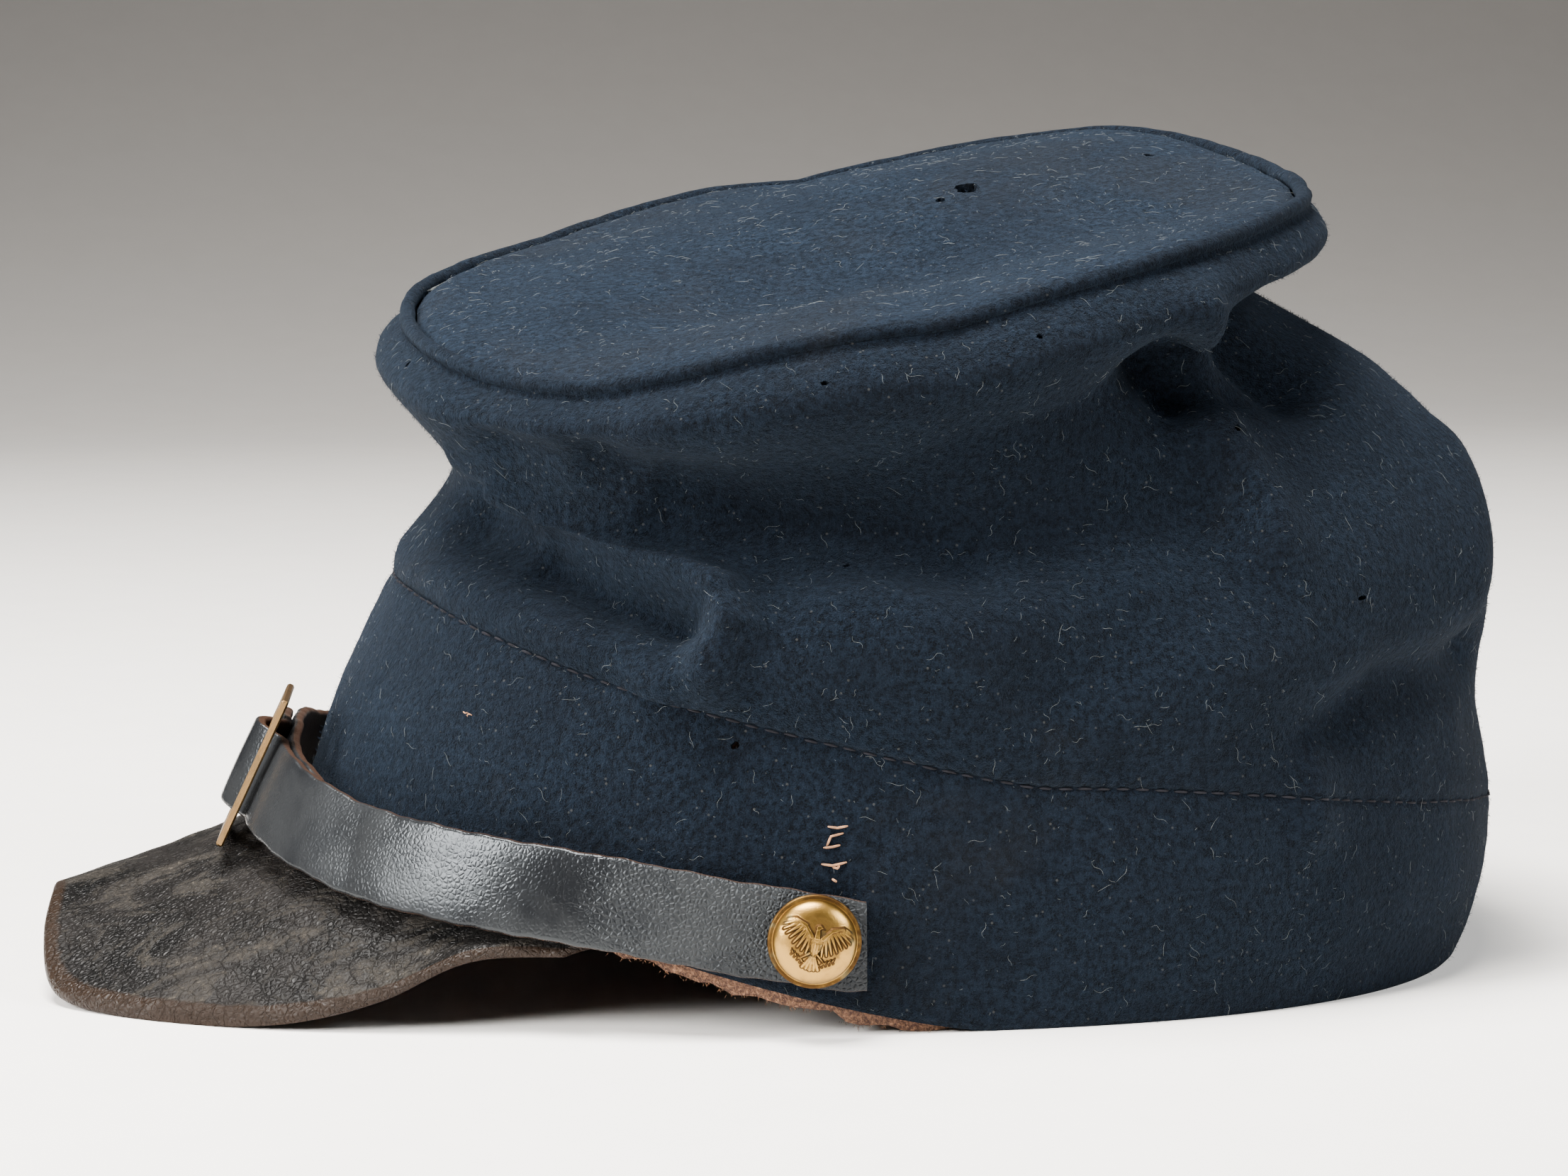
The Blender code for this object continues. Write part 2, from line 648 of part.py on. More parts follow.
def make_buckle():
    """Brass plate buckle: a frame with a bar down the middle."""
    centre, outward, up = strap_frame(BUCKLE_TURN)
    plate = add_box("buckle", (BUCKLE_LENGTH, BUCKLE_HEIGHT, BUCKLE_PLATE), (0, 0, 0), CAP)
    plate.data.materials.append(finish("buckle_brass", BRASS_COLOUR, 0.45, 1.0))
    slot_length = (BUCKLE_LENGTH - 3 * BUCKLE_BAR) / 2
    slot_height = BUCKLE_HEIGHT - 2 * BUCKLE_BAR
    for side in (-1, 1):
        slot_centre = side * (BUCKLE_BAR + slot_length) / 2
        slot = add_box("slot_cutter", (slot_length, slot_height, 3 * BUCKLE_PLATE),
                       (slot_centre, 0, 0), CUTTERS)
        slot.parent = plate
        slot.hide_render = True
        slot.display_type = "WIRE"
        cut = plate.modifiers.new("slot", "BOOLEAN")
        cut.operation = "DIFFERENCE"
        cut.object = slot
    edge = plate.modifiers.new("soft_edges", "BEVEL")
    edge.width = BUCKLE_PLATE / 4 * MM
    edge.segments = 1
    behind = STRAP_LEATHER / 2 + SEAM_GAP + BUCKLE_PLATE / 2
    plate.matrix_world = frame_matrix(centre + outward * behind, outward, up)
    return plate


def dome_height(radius):
    """Height of the button's domed face above its back."""
    share = min(radius / (BUTTON_DIAMETER / 2 - BUTTON_RIM / 2), 1.0)
    return BUTTON_RIM + BUTTON_DOME * math.sqrt(1 - share * share)


def button_mesh():
    """Plain domed button, turned from its profile."""
    profile = [(0.0, BUTTON_RIM + BUTTON_DOME)]
    dome_radius = BUTTON_DIAMETER / 2 - BUTTON_RIM / 2
    for step in range(1, DOME_STEPS + 1):
        radius = dome_radius * math.sin(math.pi / 2 * step / (DOME_STEPS + 0.5))
        profile.append((radius, dome_height(radius)))
    profile.append((dome_radius, BUTTON_RIM))
    profile += [(BUTTON_DIAMETER / 2, BUTTON_RIM * share) for share in RIM_EDGES]
    profile += [(dome_radius, 0.0), (0.0, 0.0)]
    mesh = bpy.data.meshes.new("button_turned")
    mesh.from_pydata([(r * MM, 0.0, z * MM) for r, z in profile],
                     [(i, i + 1) for i in range(len(profile) - 1)], [])
    turned = bpy.data.objects.new("button_turned", mesh)
    CUTTERS.objects.link(turned)
    screw = turned.modifiers.new("turn", "SCREW")
    screw.steps = BUTTON_SIDES
    screw.render_steps = BUTTON_SIDES
    screw.use_merge_vertices = True
    screw.merge_threshold = 0.00001
    bpy.context.view_layer.update()
    solid = bpy.data.meshes.new_from_object(turned.evaluated_get(bpy.context.evaluated_depsgraph_get()))
    bpy.data.objects.remove(turned)
    shape = bmesh.new()
    shape.from_mesh(solid)
    bmesh.ops.recalc_face_normals(shape, faces=shape.faces)
    shape.to_mesh(solid)
    shape.free()
    return solid


def relief_block(name, outline):
    """Raised figure on the button: an outline whose top follows the dome."""
    count = len(outline)
    middle = (sum(x for x, y in outline) / count, sum(y for x, y in outline) / count)

    def root(x, y):
        return (x * MM, y * MM, BUTTON_RIM * RIM_EDGES[0] * MM)

    def crest(x, y):
        return (x * MM, y * MM, (dome_height(math.hypot(x, y)) + RELIEF) * MM)

    vertices = [root(x, y) for x, y in outline] + [crest(x, y) for x, y in outline]
    vertices += [root(*middle), crest(*middle)]
    faces = []
    for step in range(count):
        following = (step + 1) % count
        faces.append((step, following, count + following, count + step))
        faces.append((following, step, 2 * count))
        faces.append((count + step, count + following, 2 * count + 1))
    mesh = bpy.data.meshes.new(name)
    mesh.from_pydata(vertices, [], faces)
    shape = bmesh.new()
    shape.from_mesh(mesh)
    bmesh.ops.recalc_face_normals(shape, faces=shape.faces)
    shape.to_mesh(mesh)
    shape.free()
    block = bpy.data.objects.new(name, mesh)
    block.hide_render = True
    block.display_type = "WIRE"
    CUTTERS.objects.link(block)
    return block


def make_buttons():
    """The two strap buttons, one at each side, with the same raised shield and wings."""
    size = BUTTON_DIAMETER / 2
    shield = [(size * x, size * y) for x, y in SHIELD]
    wing = [(size * x, size * y) for x, y in WING]
    blocks = [relief_block("shield", shield), relief_block("wing_left", wing),
              relief_block("wing_right", [(-x, y) for x, y in reversed(wing)])]
    solid = button_mesh()
    material = finish("button_brass", BUTTON_COLOUR, 0.4, 1.0)
    for name, turn in (("button_left", BUTTON_TURN), ("button_right", -BUTTON_TURN)):
        button = bpy.data.objects.new(name, solid.copy())
        button.data.materials.clear()
        button.data.materials.append(material)
        CAP.objects.link(button)
        centre, outward, up = strap_frame(turn)
        on_strap = centre + outward * (STRAP_LEATHER / 2 + SEAM_GAP)
        button.matrix_world = frame_matrix(on_strap, outward, up)
        for block in blocks:
            figure = bpy.data.objects.new(name + "_" + block.name, block.data)
            figure.hide_render = True
            figure.display_type = "WIRE"
            CUTTERS.objects.link(figure)
            figure.parent = button
            join = button.modifiers.new(block.name, "BOOLEAN")
            join.operation = "UNION"
            join.object = figure
    for block in blocks:
        bpy.data.objects.remove(block)


def new_collection(name):
    collection = bpy.data.collections.new(name)
    bpy.context.scene.collection.children.link(collection)
    return collection


for leftover in list(bpy.data.objects):
    bpy.data.objects.remove(leftover)
CAP = new_collection("kepi_cap")
CUTTERS = new_collection("cutters")

wall = cap_wall()
make_band(*wall)
make_crown_side(*wall)
make_sweatband(*wall)
make_welt(wall[1])
make_top(wall[1])
make_peak()
make_straps()
make_buckle()
make_buttons()
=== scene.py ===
import math

import bmesh
import bpy
import numpy as np
from mathutils import Matrix, Vector
from mathutils.bvhtree import BVHTree


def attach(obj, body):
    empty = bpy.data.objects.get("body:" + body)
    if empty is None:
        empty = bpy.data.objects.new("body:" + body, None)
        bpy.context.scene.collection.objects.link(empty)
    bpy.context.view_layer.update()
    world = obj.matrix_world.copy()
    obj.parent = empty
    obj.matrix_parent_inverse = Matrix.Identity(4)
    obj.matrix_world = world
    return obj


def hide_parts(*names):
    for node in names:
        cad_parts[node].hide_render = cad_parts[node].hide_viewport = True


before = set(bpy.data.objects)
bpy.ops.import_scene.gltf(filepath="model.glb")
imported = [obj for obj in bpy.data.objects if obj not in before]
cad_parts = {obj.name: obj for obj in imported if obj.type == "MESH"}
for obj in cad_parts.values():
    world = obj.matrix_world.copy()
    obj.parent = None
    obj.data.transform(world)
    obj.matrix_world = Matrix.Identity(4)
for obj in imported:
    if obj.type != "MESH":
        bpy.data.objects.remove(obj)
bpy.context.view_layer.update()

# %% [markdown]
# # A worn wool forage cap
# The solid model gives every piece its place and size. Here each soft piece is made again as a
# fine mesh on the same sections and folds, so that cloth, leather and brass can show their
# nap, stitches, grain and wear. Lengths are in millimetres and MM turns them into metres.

MM = 0.001
chance = np.random.default_rng(1861)

# %% [markdown]
# ## Camera
# The photograph looks at the wearer's left side from a little in front and a little above, with
# a long lens. The camera comes first because a few marks on the cloth are placed along the lines
# of sight through points of the picture.

# %% Camera
PICTURE = (2212, 1659)
SENSOR = 36.0
LENS = 110.0
CAMERA_AZIMUTH = 80.0
CAMERA_ELEVATION = 7.0
CAMERA_DISTANCE = 850.0
CAMERA_TARGET = (0.0, 1.9, 63.7)


def look_back(azimuth, elevation):
    """Direction from the object to a viewer. Azimuth 0 looks along +Y, 90 along -X."""
    turn, rise = math.radians(azimuth), math.radians(elevation)
    return Vector((math.sin(turn) * math.cos(rise), -math.cos(turn) * math.cos(rise),
                   math.sin(rise)))


camera_back = look_back(CAMERA_AZIMUTH, CAMERA_ELEVATION)
camera_data = bpy.data.cameras.new("camera")
camera_data.lens = LENS
camera_data.sensor_width = SENSOR
camera = bpy.data.objects.new("camera", camera_data)
bpy.context.scene.collection.objects.link(camera)
camera.location = (Vector(CAMERA_TARGET) + camera_back * CAMERA_DISTANCE) * MM
camera.rotation_mode = "QUATERNION"
camera.rotation_quaternion = (-camera_back).to_track_quat("-Z", "Y")
bpy.context.scene.camera = camera
print("camera at", [round(value, 3) for value in camera.location])


# %% Line of sight through a point of the picture
def sight(pixel):
    """Direction from the camera through a pixel of the 2212 by 1659 picture."""
    across = (pixel[0] - PICTURE[0] / 2) / PICTURE[0] * SENSOR / LENS
    above = (PICTURE[1] / 2 - pixel[1]) / PICTURE[0] * SENSOR / LENS
    return (camera.rotation_quaternion @ Vector((across, above, -1.0))).normalized()


# %% [markdown]
# ## Material tools
# Materials are built from small helpers, so that each one reads as a recipe. Effects that
# several finishes share become node groups with named inputs and outputs: the mottling, painted
# shade and nap of felted wool, the grain of leather, broken wear along an edge, and dust.

# %% Node helpers
def add_node(tree, kind, settings=None, **inputs):
    """Add a node. Inputs are values or sockets, with _ for a space in a socket's name."""
    made = tree.nodes.new(kind)
    for key, value in (settings or {}).items():
        setattr(made, key, value)
    for key, value in inputs.items():
        plug(tree, made.inputs[key.replace("_", " ")], value)
    return made


def plug(tree, socket, value):
    """Link a socket, or set a plain value."""
    if isinstance(value, bpy.types.NodeSocket):
        tree.links.new(value, socket)
    else:
        socket.default_value = value


def math_node(tree, operation, first, second, clamp=False):
    made = tree.nodes.new("ShaderNodeMath")
    made.operation = operation
    made.use_clamp = clamp
    plug(tree, made.inputs[0], first)
    plug(tree, made.inputs[1], second)
    return made.outputs[0]


def times(tree, first, second):
    return math_node(tree, "MULTIPLY", first, second)


def plus(tree, first, second, clamp=False):
    return math_node(tree, "ADD", first, second, clamp)


def mix_colour(tree, share, first, second):
    made = tree.nodes.new("ShaderNodeMix")
    made.data_type = "RGBA"
    plug(tree, made.inputs["Factor"], share)
    plug(tree, made.inputs[6], first)
    plug(tree, made.inputs[7], second)
    return made.outputs[2]


def ramp(tree, value, low, high, start=0.0, end=1.0):
    """Smoothly remap a value from low..high to start..end."""
    made = add_node(tree, "ShaderNodeMapRange", {"interpolation_type": "SMOOTHSTEP"},
                    Value=value, From_Min=low, From_Max=high, To_Min=start, To_Max=end)
    return made.outputs[0]


def noise(tree, place, scale, detail=3.0, roughness=0.55, distortion=0.0):
    made = add_node(tree, "ShaderNodeTexNoise", Vector=place, Scale=scale, Detail=detail,
                    Roughness=roughness, Distortion=distortion)
    return made.outputs["Fac"]


def new_group(name, inputs, outputs):
    """Empty node group with named sockets: inputs have default values, None for a vector."""
    group = bpy.data.node_groups.new(name, "ShaderNodeTree")
    for label, value in inputs.items():
        kind = "NodeSocketVector" if value is None else "NodeSocketFloat"
        socket = group.interface.new_socket(label, in_out="INPUT", socket_type=kind)
        if value is not None:
            socket.default_value = value
    for label in outputs:
        group.interface.new_socket(label, in_out="OUTPUT", socket_type="NodeSocketFloat")
    start = group.nodes.new("NodeGroupInput")
    end = group.nodes.new("NodeGroupOutput")
    return group, start.outputs, end.inputs


def use_group(tree, group, **inputs):
    made = tree.nodes.new("ShaderNodeGroup")
    made.node_tree = group
    for key, value in inputs.items():
        plug(tree, made.inputs[key.replace("_", " ")], value)
    return made.outputs


def new_material(name):
    """Material with its node tree, shader and the object's own coordinates."""
    material = bpy.data.materials.new(name)
    material.use_nodes = True
    tree = material.node_tree
    shader = tree.nodes["Principled BSDF"]
    place = tree.nodes.new("ShaderNodeTexCoord").outputs["Object"]
    return material, tree, shader, place


def set_bump(tree, shader, height, distance, strength=1.0):
    bump = add_node(tree, "ShaderNodeBump", Height=height, Distance=distance, Strength=strength)
    tree.links.new(bump.outputs[0], shader.inputs["Normal"])


def painted(tree, name):
    """A mask painted on the mesh by the code that made it."""
    made = tree.nodes.new("ShaderNodeAttribute")
    made.attribute_name = name
    return made.outputs["Fac"]


# %% Shared effects: nap of felted wool
nap, nap_in, nap_out = new_group(
    "wool_nap", {"Vector": None, "Tuft Scale": 900.0, "Fibre Scale": 3800.0},
    ("Mottle And Painted Shade", "Height", "Cloud"))
tuft = noise(nap, nap_in["Vector"], nap_in["Tuft Scale"], 4.0, 0.62)
fibre = noise(nap, nap_in["Vector"], nap_in["Fibre Scale"], 2.0, 0.6, 0.8)
cloud = noise(nap, nap_in["Vector"], 34.0, 3.0, 0.6, 0.5)
# Shade output: random mottling, and painted shade, since the colour is darkest where the same noise
# makes the bump lowest, between the tufts
tuft_shade = ramp(nap, tuft, 0.36, 0.66)
fibre_shade = ramp(nap, fibre, 0.40, 0.66)
plug(nap, nap_out["Mottle And Painted Shade"], plus(nap, times(nap, tuft_shade, 0.55), times(nap, fibre_shade, 0.45)))
plug(nap, nap_out["Height"], plus(nap, times(nap, tuft, 0.65), times(nap, fibre, 0.35)))
plug(nap, nap_out["Cloud"], ramp(nap, cloud, 0.38, 0.64))

# %% Shared effects: grain of leather, with fine cracks
grain, grain_in, grain_out = new_group(
    "leather_grain", {"Vector": None, "Grain Scale": 1300.0, "Crack Scale": 420.0},
    ("Height", "Crack", "Cloud"))
pebble = add_node(grain, "ShaderNodeTexVoronoi", {"feature": "DISTANCE_TO_EDGE"},
                  Vector=grain_in["Vector"], Scale=grain_in["Grain Scale"]).outputs["Distance"]
wobble = add_node(grain, "ShaderNodeTexNoise", Vector=grain_in["Vector"], Scale=500.0)
small_wobble = add_node(grain, "ShaderNodeVectorMath", {"operation": "SCALE"}, Scale=0.0016)
wander = add_node(grain, "ShaderNodeVectorMath", {"operation": "ADD"})
plug(grain, small_wobble.inputs[0], wobble.outputs["Color"])
plug(grain, wander.inputs[0], grain_in["Vector"])
plug(grain, wander.inputs[1], small_wobble.outputs[0])
crack_lines = add_node(grain, "ShaderNodeTexVoronoi", {"feature": "DISTANCE_TO_EDGE"},
                       Vector=wander.outputs[0], Scale=grain_in["Crack Scale"])
plug(grain, grain_out["Height"], ramp(grain, pebble, 0.0, 0.35))
plug(grain, grain_out["Crack"], ramp(grain, crack_lines.outputs["Distance"], 0.0, 0.05, 1.0, 0.0))
plug(grain, grain_out["Cloud"], noise(grain, grain_in["Vector"], 60.0, 4.0, 0.6, 0.4))

# %% Shared effects: broken wear along an edge, and dust that clings in patches
wear, wear_in, wear_out = new_group(
    "edge_wear", {"Vector": None, "Edge": 0.0, "Scale": 300.0, "Amount": 0.5}, ("Mask",))
breakup = noise(wear, wear_in["Vector"], wear_in["Scale"], 4.0, 0.65)
worn = plus(wear, times(wear, wear_in["Edge"], 0.75), times(wear, breakup, wear_in["Amount"]))
plug(wear, wear_out["Mask"], ramp(wear, worn, 0.52, 0.78))

dust, dust_in, dust_out = new_group(
    "dust", {"Vector": None, "Patch Scale": 30.0, "Cover": 0.5}, ("Mask", "Specks"))
patch = noise(dust, dust_in["Vector"], dust_in["Patch Scale"], 5.0, 0.65, 0.6)
threshold = math_node(dust, "SUBTRACT", 1.0, dust_in["Cover"])
patch_mask = ramp(dust, patch, threshold, plus(dust, threshold, 0.22))
specks = add_node(dust, "ShaderNodeTexVoronoi", Vector=dust_in["Vector"], Scale=420.0,
                  Randomness=1.0).outputs["Distance"]
plug(dust, dust_out["Mask"], patch_mask)
plug(dust, dust_out["Specks"], ramp(dust, specks, 0.06, 0.12, 1.0, 0.0))
print("node groups:", [group.name for group in (nap, grain, wear, dust)])


# %% [markdown]
# ## Wool
# Felted wool has no visible weave: it is a dense nap, mottled at random, whose colour is made
# darker between its tufts as painted shade, and it catches light at grazing angles, which the
# sheen layer gives. Age shows as clouds of brown dust, lightest on the top and along the rolled rim.

# %% Wool finish
def wool(name, dusty, tone=1.0, vivid=1.0):
    """Felted navy wool. dusty is how much brown dust it holds."""
    material, tree, shader, place = new_material(name)
    cloth = use_group(tree, nap, Vector=place)
    clinging = use_group(tree, dust, Vector=place, Patch_Scale=22.0, Cover=dusty)
    deep = (0.0009 * tone, 0.0013 * tone, 0.0022 * tone, 1)
    fair = (0.0082 * tone, 0.0135 * tone * vivid, 0.0230 * tone * vivid, 1)
    # painted shade: the colour goes to deep navy where the nap's bump is low, between the tufts, on top
    # of random mottling
    colour = mix_colour(tree, cloth["Mottle And Painted Shade"], deep, fair)
    colour = mix_colour(tree, times(tree, cloth["Cloud"], 0.35), colour,
                        (0.0019 * tone, 0.0028 * tone, 0.0048 * tone, 1))
    colour = mix_colour(tree, times(tree, clinging["Mask"], 0.30), colour,
                        (0.0120, 0.0115, 0.0110, 1))
    colour = mix_colour(tree, times(tree, clinging["Specks"], 0.35), colour,
                        (0.085, 0.085, 0.080, 1))
    plug(tree, shader.inputs["Base Color"], colour)
    shader.inputs["Roughness"].default_value = 0.95
    shader.inputs["Specular IOR Level"].default_value = 0.05
    shader.inputs["Sheen Weight"].default_value = 0.06
    shader.inputs["Sheen Roughness"].default_value = 0.40
    shader.inputs["Sheen Tint"].default_value = (0.36, 0.50, 0.70, 1)
    set_bump(tree, shader, cloth["Height"], 0.0017, 1.0)
    return material


def plain_fibre(name, colour, sheen=0.0):
    """Finish of loose fibres and thread, a little uneven along their length."""
    material, tree, shader, place = new_material(name)
    uneven = ramp(tree, noise(tree, place, 700.0, 3.0), 0.3, 0.7)
    darker = tuple(channel * 0.5 for channel in colour)
    plug(tree, shader.inputs["Base Color"], mix_colour(tree, uneven, (*darker, 1), (*colour, 1)))
    shader.inputs["Roughness"].default_value = 0.9
    shader.inputs["Specular IOR Level"].default_value = 0.2
    shader.inputs["Sheen Weight"].default_value = sheen
    set_bump(tree, shader, noise(tree, place, 4000.0), 0.0002, 0.5)
    return material


WOOL_BAND = wool("wool_band", 0.42)
WOOL_SIDE = wool("wool_side", 0.46)
WOOL_TOP = wool("wool_top", 0.56, 1.65)
NAP_FIBRE = plain_fibre("nap_fibre", (0.008, 0.017, 0.032), 0.0)
LINT_FIBRE = plain_fibre("lint_fibre", (0.24, 0.26, 0.26))
SEAM_THREAD = plain_fibre("seam_thread", (0.010, 0.010, 0.014))
MEND_THREAD = plain_fibre("mend_thread", (0.42, 0.22, 0.12))
PINK_FIBRE = plain_fibre("pink_fibre", (0.62, 0.33, 0.34))
print("wool finishes made")


# %% [markdown]
# ## Leather
# The peak is glazed black leather, scuffed to a chalky tan in streaks and worn to bare brown
# hide along its edge. The chin strap is smoother and shines in places. The head strip inside is
# undyed hide with a torn, furry lower edge.

# %% Leather finishes
def strap_leather():
    material, tree, shader, place = new_material("strap_leather")
    hide = use_group(tree, grain, Vector=place, Grain_Scale=1250.0, Crack_Scale=260.0)
    edge = use_group(tree, wear, Vector=place, Edge=painted(tree, "edge"), Scale=700.0,
                     Amount=0.22)
    flesh = painted(tree, "flesh")
    matte = painted(tree, "matte")
    colour = mix_colour(tree, ramp(tree, hide["Cloud"], 0.35, 0.65), (0.006, 0.0065, 0.0075, 1),
                        (0.015, 0.016, 0.017, 1))
    crazed = times(tree, hide["Crack"],
                       ramp(tree, noise(tree, place, 38.0, 3.0), 0.50, 0.66))
    colour = mix_colour(tree, times(tree, crazed, 0.25), colour,
                        (0.012, 0.012, 0.012, 1))
    colour = mix_colour(tree, edge["Mask"], colour, (0.030, 0.016, 0.010, 1))
    brown = mix_colour(tree, hide["Cloud"], (0.022, 0.010, 0.006, 1), (0.060, 0.028, 0.016, 1))
    colour = mix_colour(tree, flesh, colour, brown)
    plug(tree, shader.inputs["Base Color"], colour)
    shine = ramp(tree, noise(tree, place, 45.0, 3.0, 0.5), 0.36, 0.62, 0.20, 0.32)
    rough = plus(tree, shine, times(tree, matte, 0.22))
    rough = plus(tree, rough, times(tree, flesh, 0.4), True)
    plug(tree, shader.inputs["Roughness"], rough)
    shader.inputs["Specular IOR Level"].default_value = 0.22
    shader.inputs["Specular Tint"].default_value = (0.86, 0.94, 1.0, 1)
    pebbling = times(tree, hide["Height"],
                         plus(tree, times(tree, matte, 0.85), 0.12))
    wrinkled = math_node(tree, "SUBTRACT", pebbling, times(tree, crazed, 0.12))
    set_bump(tree, shader, wrinkled, 0.00022, 0.8)
    return material


def peak_leather():
    material, tree, shader, place = new_material("peak_leather")
    hide = use_group(tree, grain, Vector=place, Grain_Scale=1100.0, Crack_Scale=330.0)
    edge = use_group(tree, wear, Vector=place, Edge=painted(tree, "edge"), Scale=420.0,
                     Amount=0.5)
    flesh = painted(tree, "flesh")
    streaks = add_node(tree, "ShaderNodeMapping", Vector=place, Scale=(1.0, 0.42, 1.0))
    scuff = ramp(tree, noise(tree, streaks.outputs[0], 80.0, 8.0, 0.74, 1.3), 0.49, 0.60)
    fleck = ramp(tree, noise(tree, place, 900.0, 4.0, 0.7), 0.50, 0.66)
    scuffed = times(tree, scuff, plus(tree, times(tree, fleck, 0.75), 0.25))
    colour = mix_colour(tree, ramp(tree, hide["Cloud"], 0.3, 0.7), (0.0025, 0.0025, 0.0025, 1),
                        (0.008, 0.007, 0.0065, 1))
    colour = mix_colour(tree, times(tree, scuffed, 0.70), colour,
                        (0.068, 0.059, 0.048, 1))
    colour = mix_colour(tree, edge["Mask"], colour, (0.014, 0.0085, 0.0055, 1))
    under = mix_colour(tree, hide["Cloud"], (0.006, 0.0035, 0.0025, 1), (0.024, 0.013, 0.008, 1))
    colour = mix_colour(tree, flesh, colour, under)
    plug(tree, shader.inputs["Base Color"], colour)
    rough = plus(tree, ramp(tree, hide["Cloud"], 0.3, 0.7, 0.34, 0.50),
                      times(tree, scuffed, 0.35), True)
    plug(tree, shader.inputs["Roughness"], rough)
    shader.inputs["Specular IOR Level"].default_value = 0.13
    relief = plus(tree, times(tree, hide["Height"], 0.45),
                       times(tree, scuffed, 0.6))
    relief = math_node(tree, "SUBTRACT", relief, times(tree, hide["Crack"], 0.5))
    set_bump(tree, shader, relief, 0.00035, 0.9)
    return material


def hide_leather():
    material, tree, shader, place = new_material("sweat_leather")
    hide = use_group(tree, grain, Vector=place, Grain_Scale=1500.0, Crack_Scale=500.0)
    torn = painted(tree, "edge")
    colour = mix_colour(tree, ramp(tree, hide["Cloud"], 0.3, 0.7), (0.050, 0.020, 0.011, 1),
                        (0.140, 0.064, 0.035, 1))
    furry = ramp(tree, noise(tree, place, 1600.0, 4.0, 0.7), 0.38, 0.62)
    raw = mix_colour(tree, furry, (0.060, 0.022, 0.013, 1), (0.300, 0.150, 0.080, 1))
    colour = mix_colour(tree, torn, colour, raw)
    plug(tree, shader.inputs["Base Color"], colour)
    shader.inputs["Roughness"].default_value = 0.85
    relief = plus(tree, times(tree, hide["Height"], 0.3),
                       times(tree, times(tree, torn, furry), 1.0))
    set_bump(tree, shader, relief, 0.0006, 0.9)
    return material


STRAP_FINISH = strap_leather()
PEAK_FINISH = peak_leather()
SWEAT_FINISH = hide_leather()
RAW_FIBRE = plain_fibre("raw_fibre", (0.32, 0.155, 0.085))
print("leather finishes made")


# %% [markdown]
# ## Brass
# The buttons have been rubbed bright on the high parts, with brown and faint green left in the
# hollows. The buckle is duller and darker.

# %% Brass finishes
def aged_brass(name, bright, dull, green, shine):
    material, tree, shader, place = new_material(name)
    hollow = painted(tree, "hollow")
    stain = noise(tree, place, 330.0, 5.0, 0.65, 0.6)
    aged = plus(tree, times(tree, hollow, 0.80),
                     times(tree, stain, 0.75))
    mask = ramp(tree, aged, 0.34, 0.82)
    colour = mix_colour(tree, mask, (*bright, 1), (*dull, 1))
    tint = ramp(tree, noise(tree, place, 190.0, 3.0), 0.56, 0.72, 0.0, 0.45)
    colour = mix_colour(tree, tint, colour, (*green, 1))
    plug(tree, shader.inputs["Base Color"], colour)
    shader.inputs["Metallic"].default_value = 1.0
    plug(tree, shader.inputs["Roughness"], ramp(tree, mask, 0.0, 1.0, shine, shine + 0.24))
    scratch = noise(tree, place, 5200.0, 3.0, 0.6)
    set_bump(tree, shader, plus(tree, times(tree, stain, 0.7),
                                     times(tree, scratch, 0.3)), 0.00012, 0.6)
    return material


BUTTON_FINISH = aged_brass("button_brass", (0.36, 0.205, 0.048), (0.050, 0.025, 0.008),
                           (0.20, 0.19, 0.10), 0.30)
BUCKLE_FINISH = aged_brass("buckle_brass", (0.22, 0.135, 0.060), (0.050, 0.030, 0.016),
                           (0.07, 0.065, 0.045), 0.40)
print("brass finishes made")

# %% [markdown]
# ## The wall of the cap
# Band and crown are one folded wall, so one set of rings gives them both. Each ring is an
# egg-shaped curve with its own front, back and sides. Smooth curves join the rings from the
# floor to the top, and a table of folds pushes the wall out or in along short lines. These are
# the solid model's own rings. Its folds are drawn again here in shorter and sharper stretches,
# and a second table adds finer creases.

# %% Sizes of the wall
BAND_LENGTH = 213.0
BAND_WIDTH = 161.0
BAND_HEIGHT = 40.0
FRONT_LIFT = 30.0
CROWN_RISE = 106.0
TOP_LENGTH = 168.0
TOP_WIDTH = 140.0
CLOTH = 1.8
SEAM_GAP = 0.3
FOLD_DEPTH = 10.0
FOLD_WIDTH = 10.0
BAND_SHAPE = (0.935, 0.925, 0.990, 0.800, 0.665, 0.800, 0.990, 0.925)
CROWN_SHAPE = (0.392, 0.422, 0.689, 0.897, 1.012, 1.024, 0.850, 0.575)
BOTTOM_FRONT = -0.388
BOTTOM_BACK = 0.569
LIFT_STARTS = 0.103
LIFT_POWER = 1.3

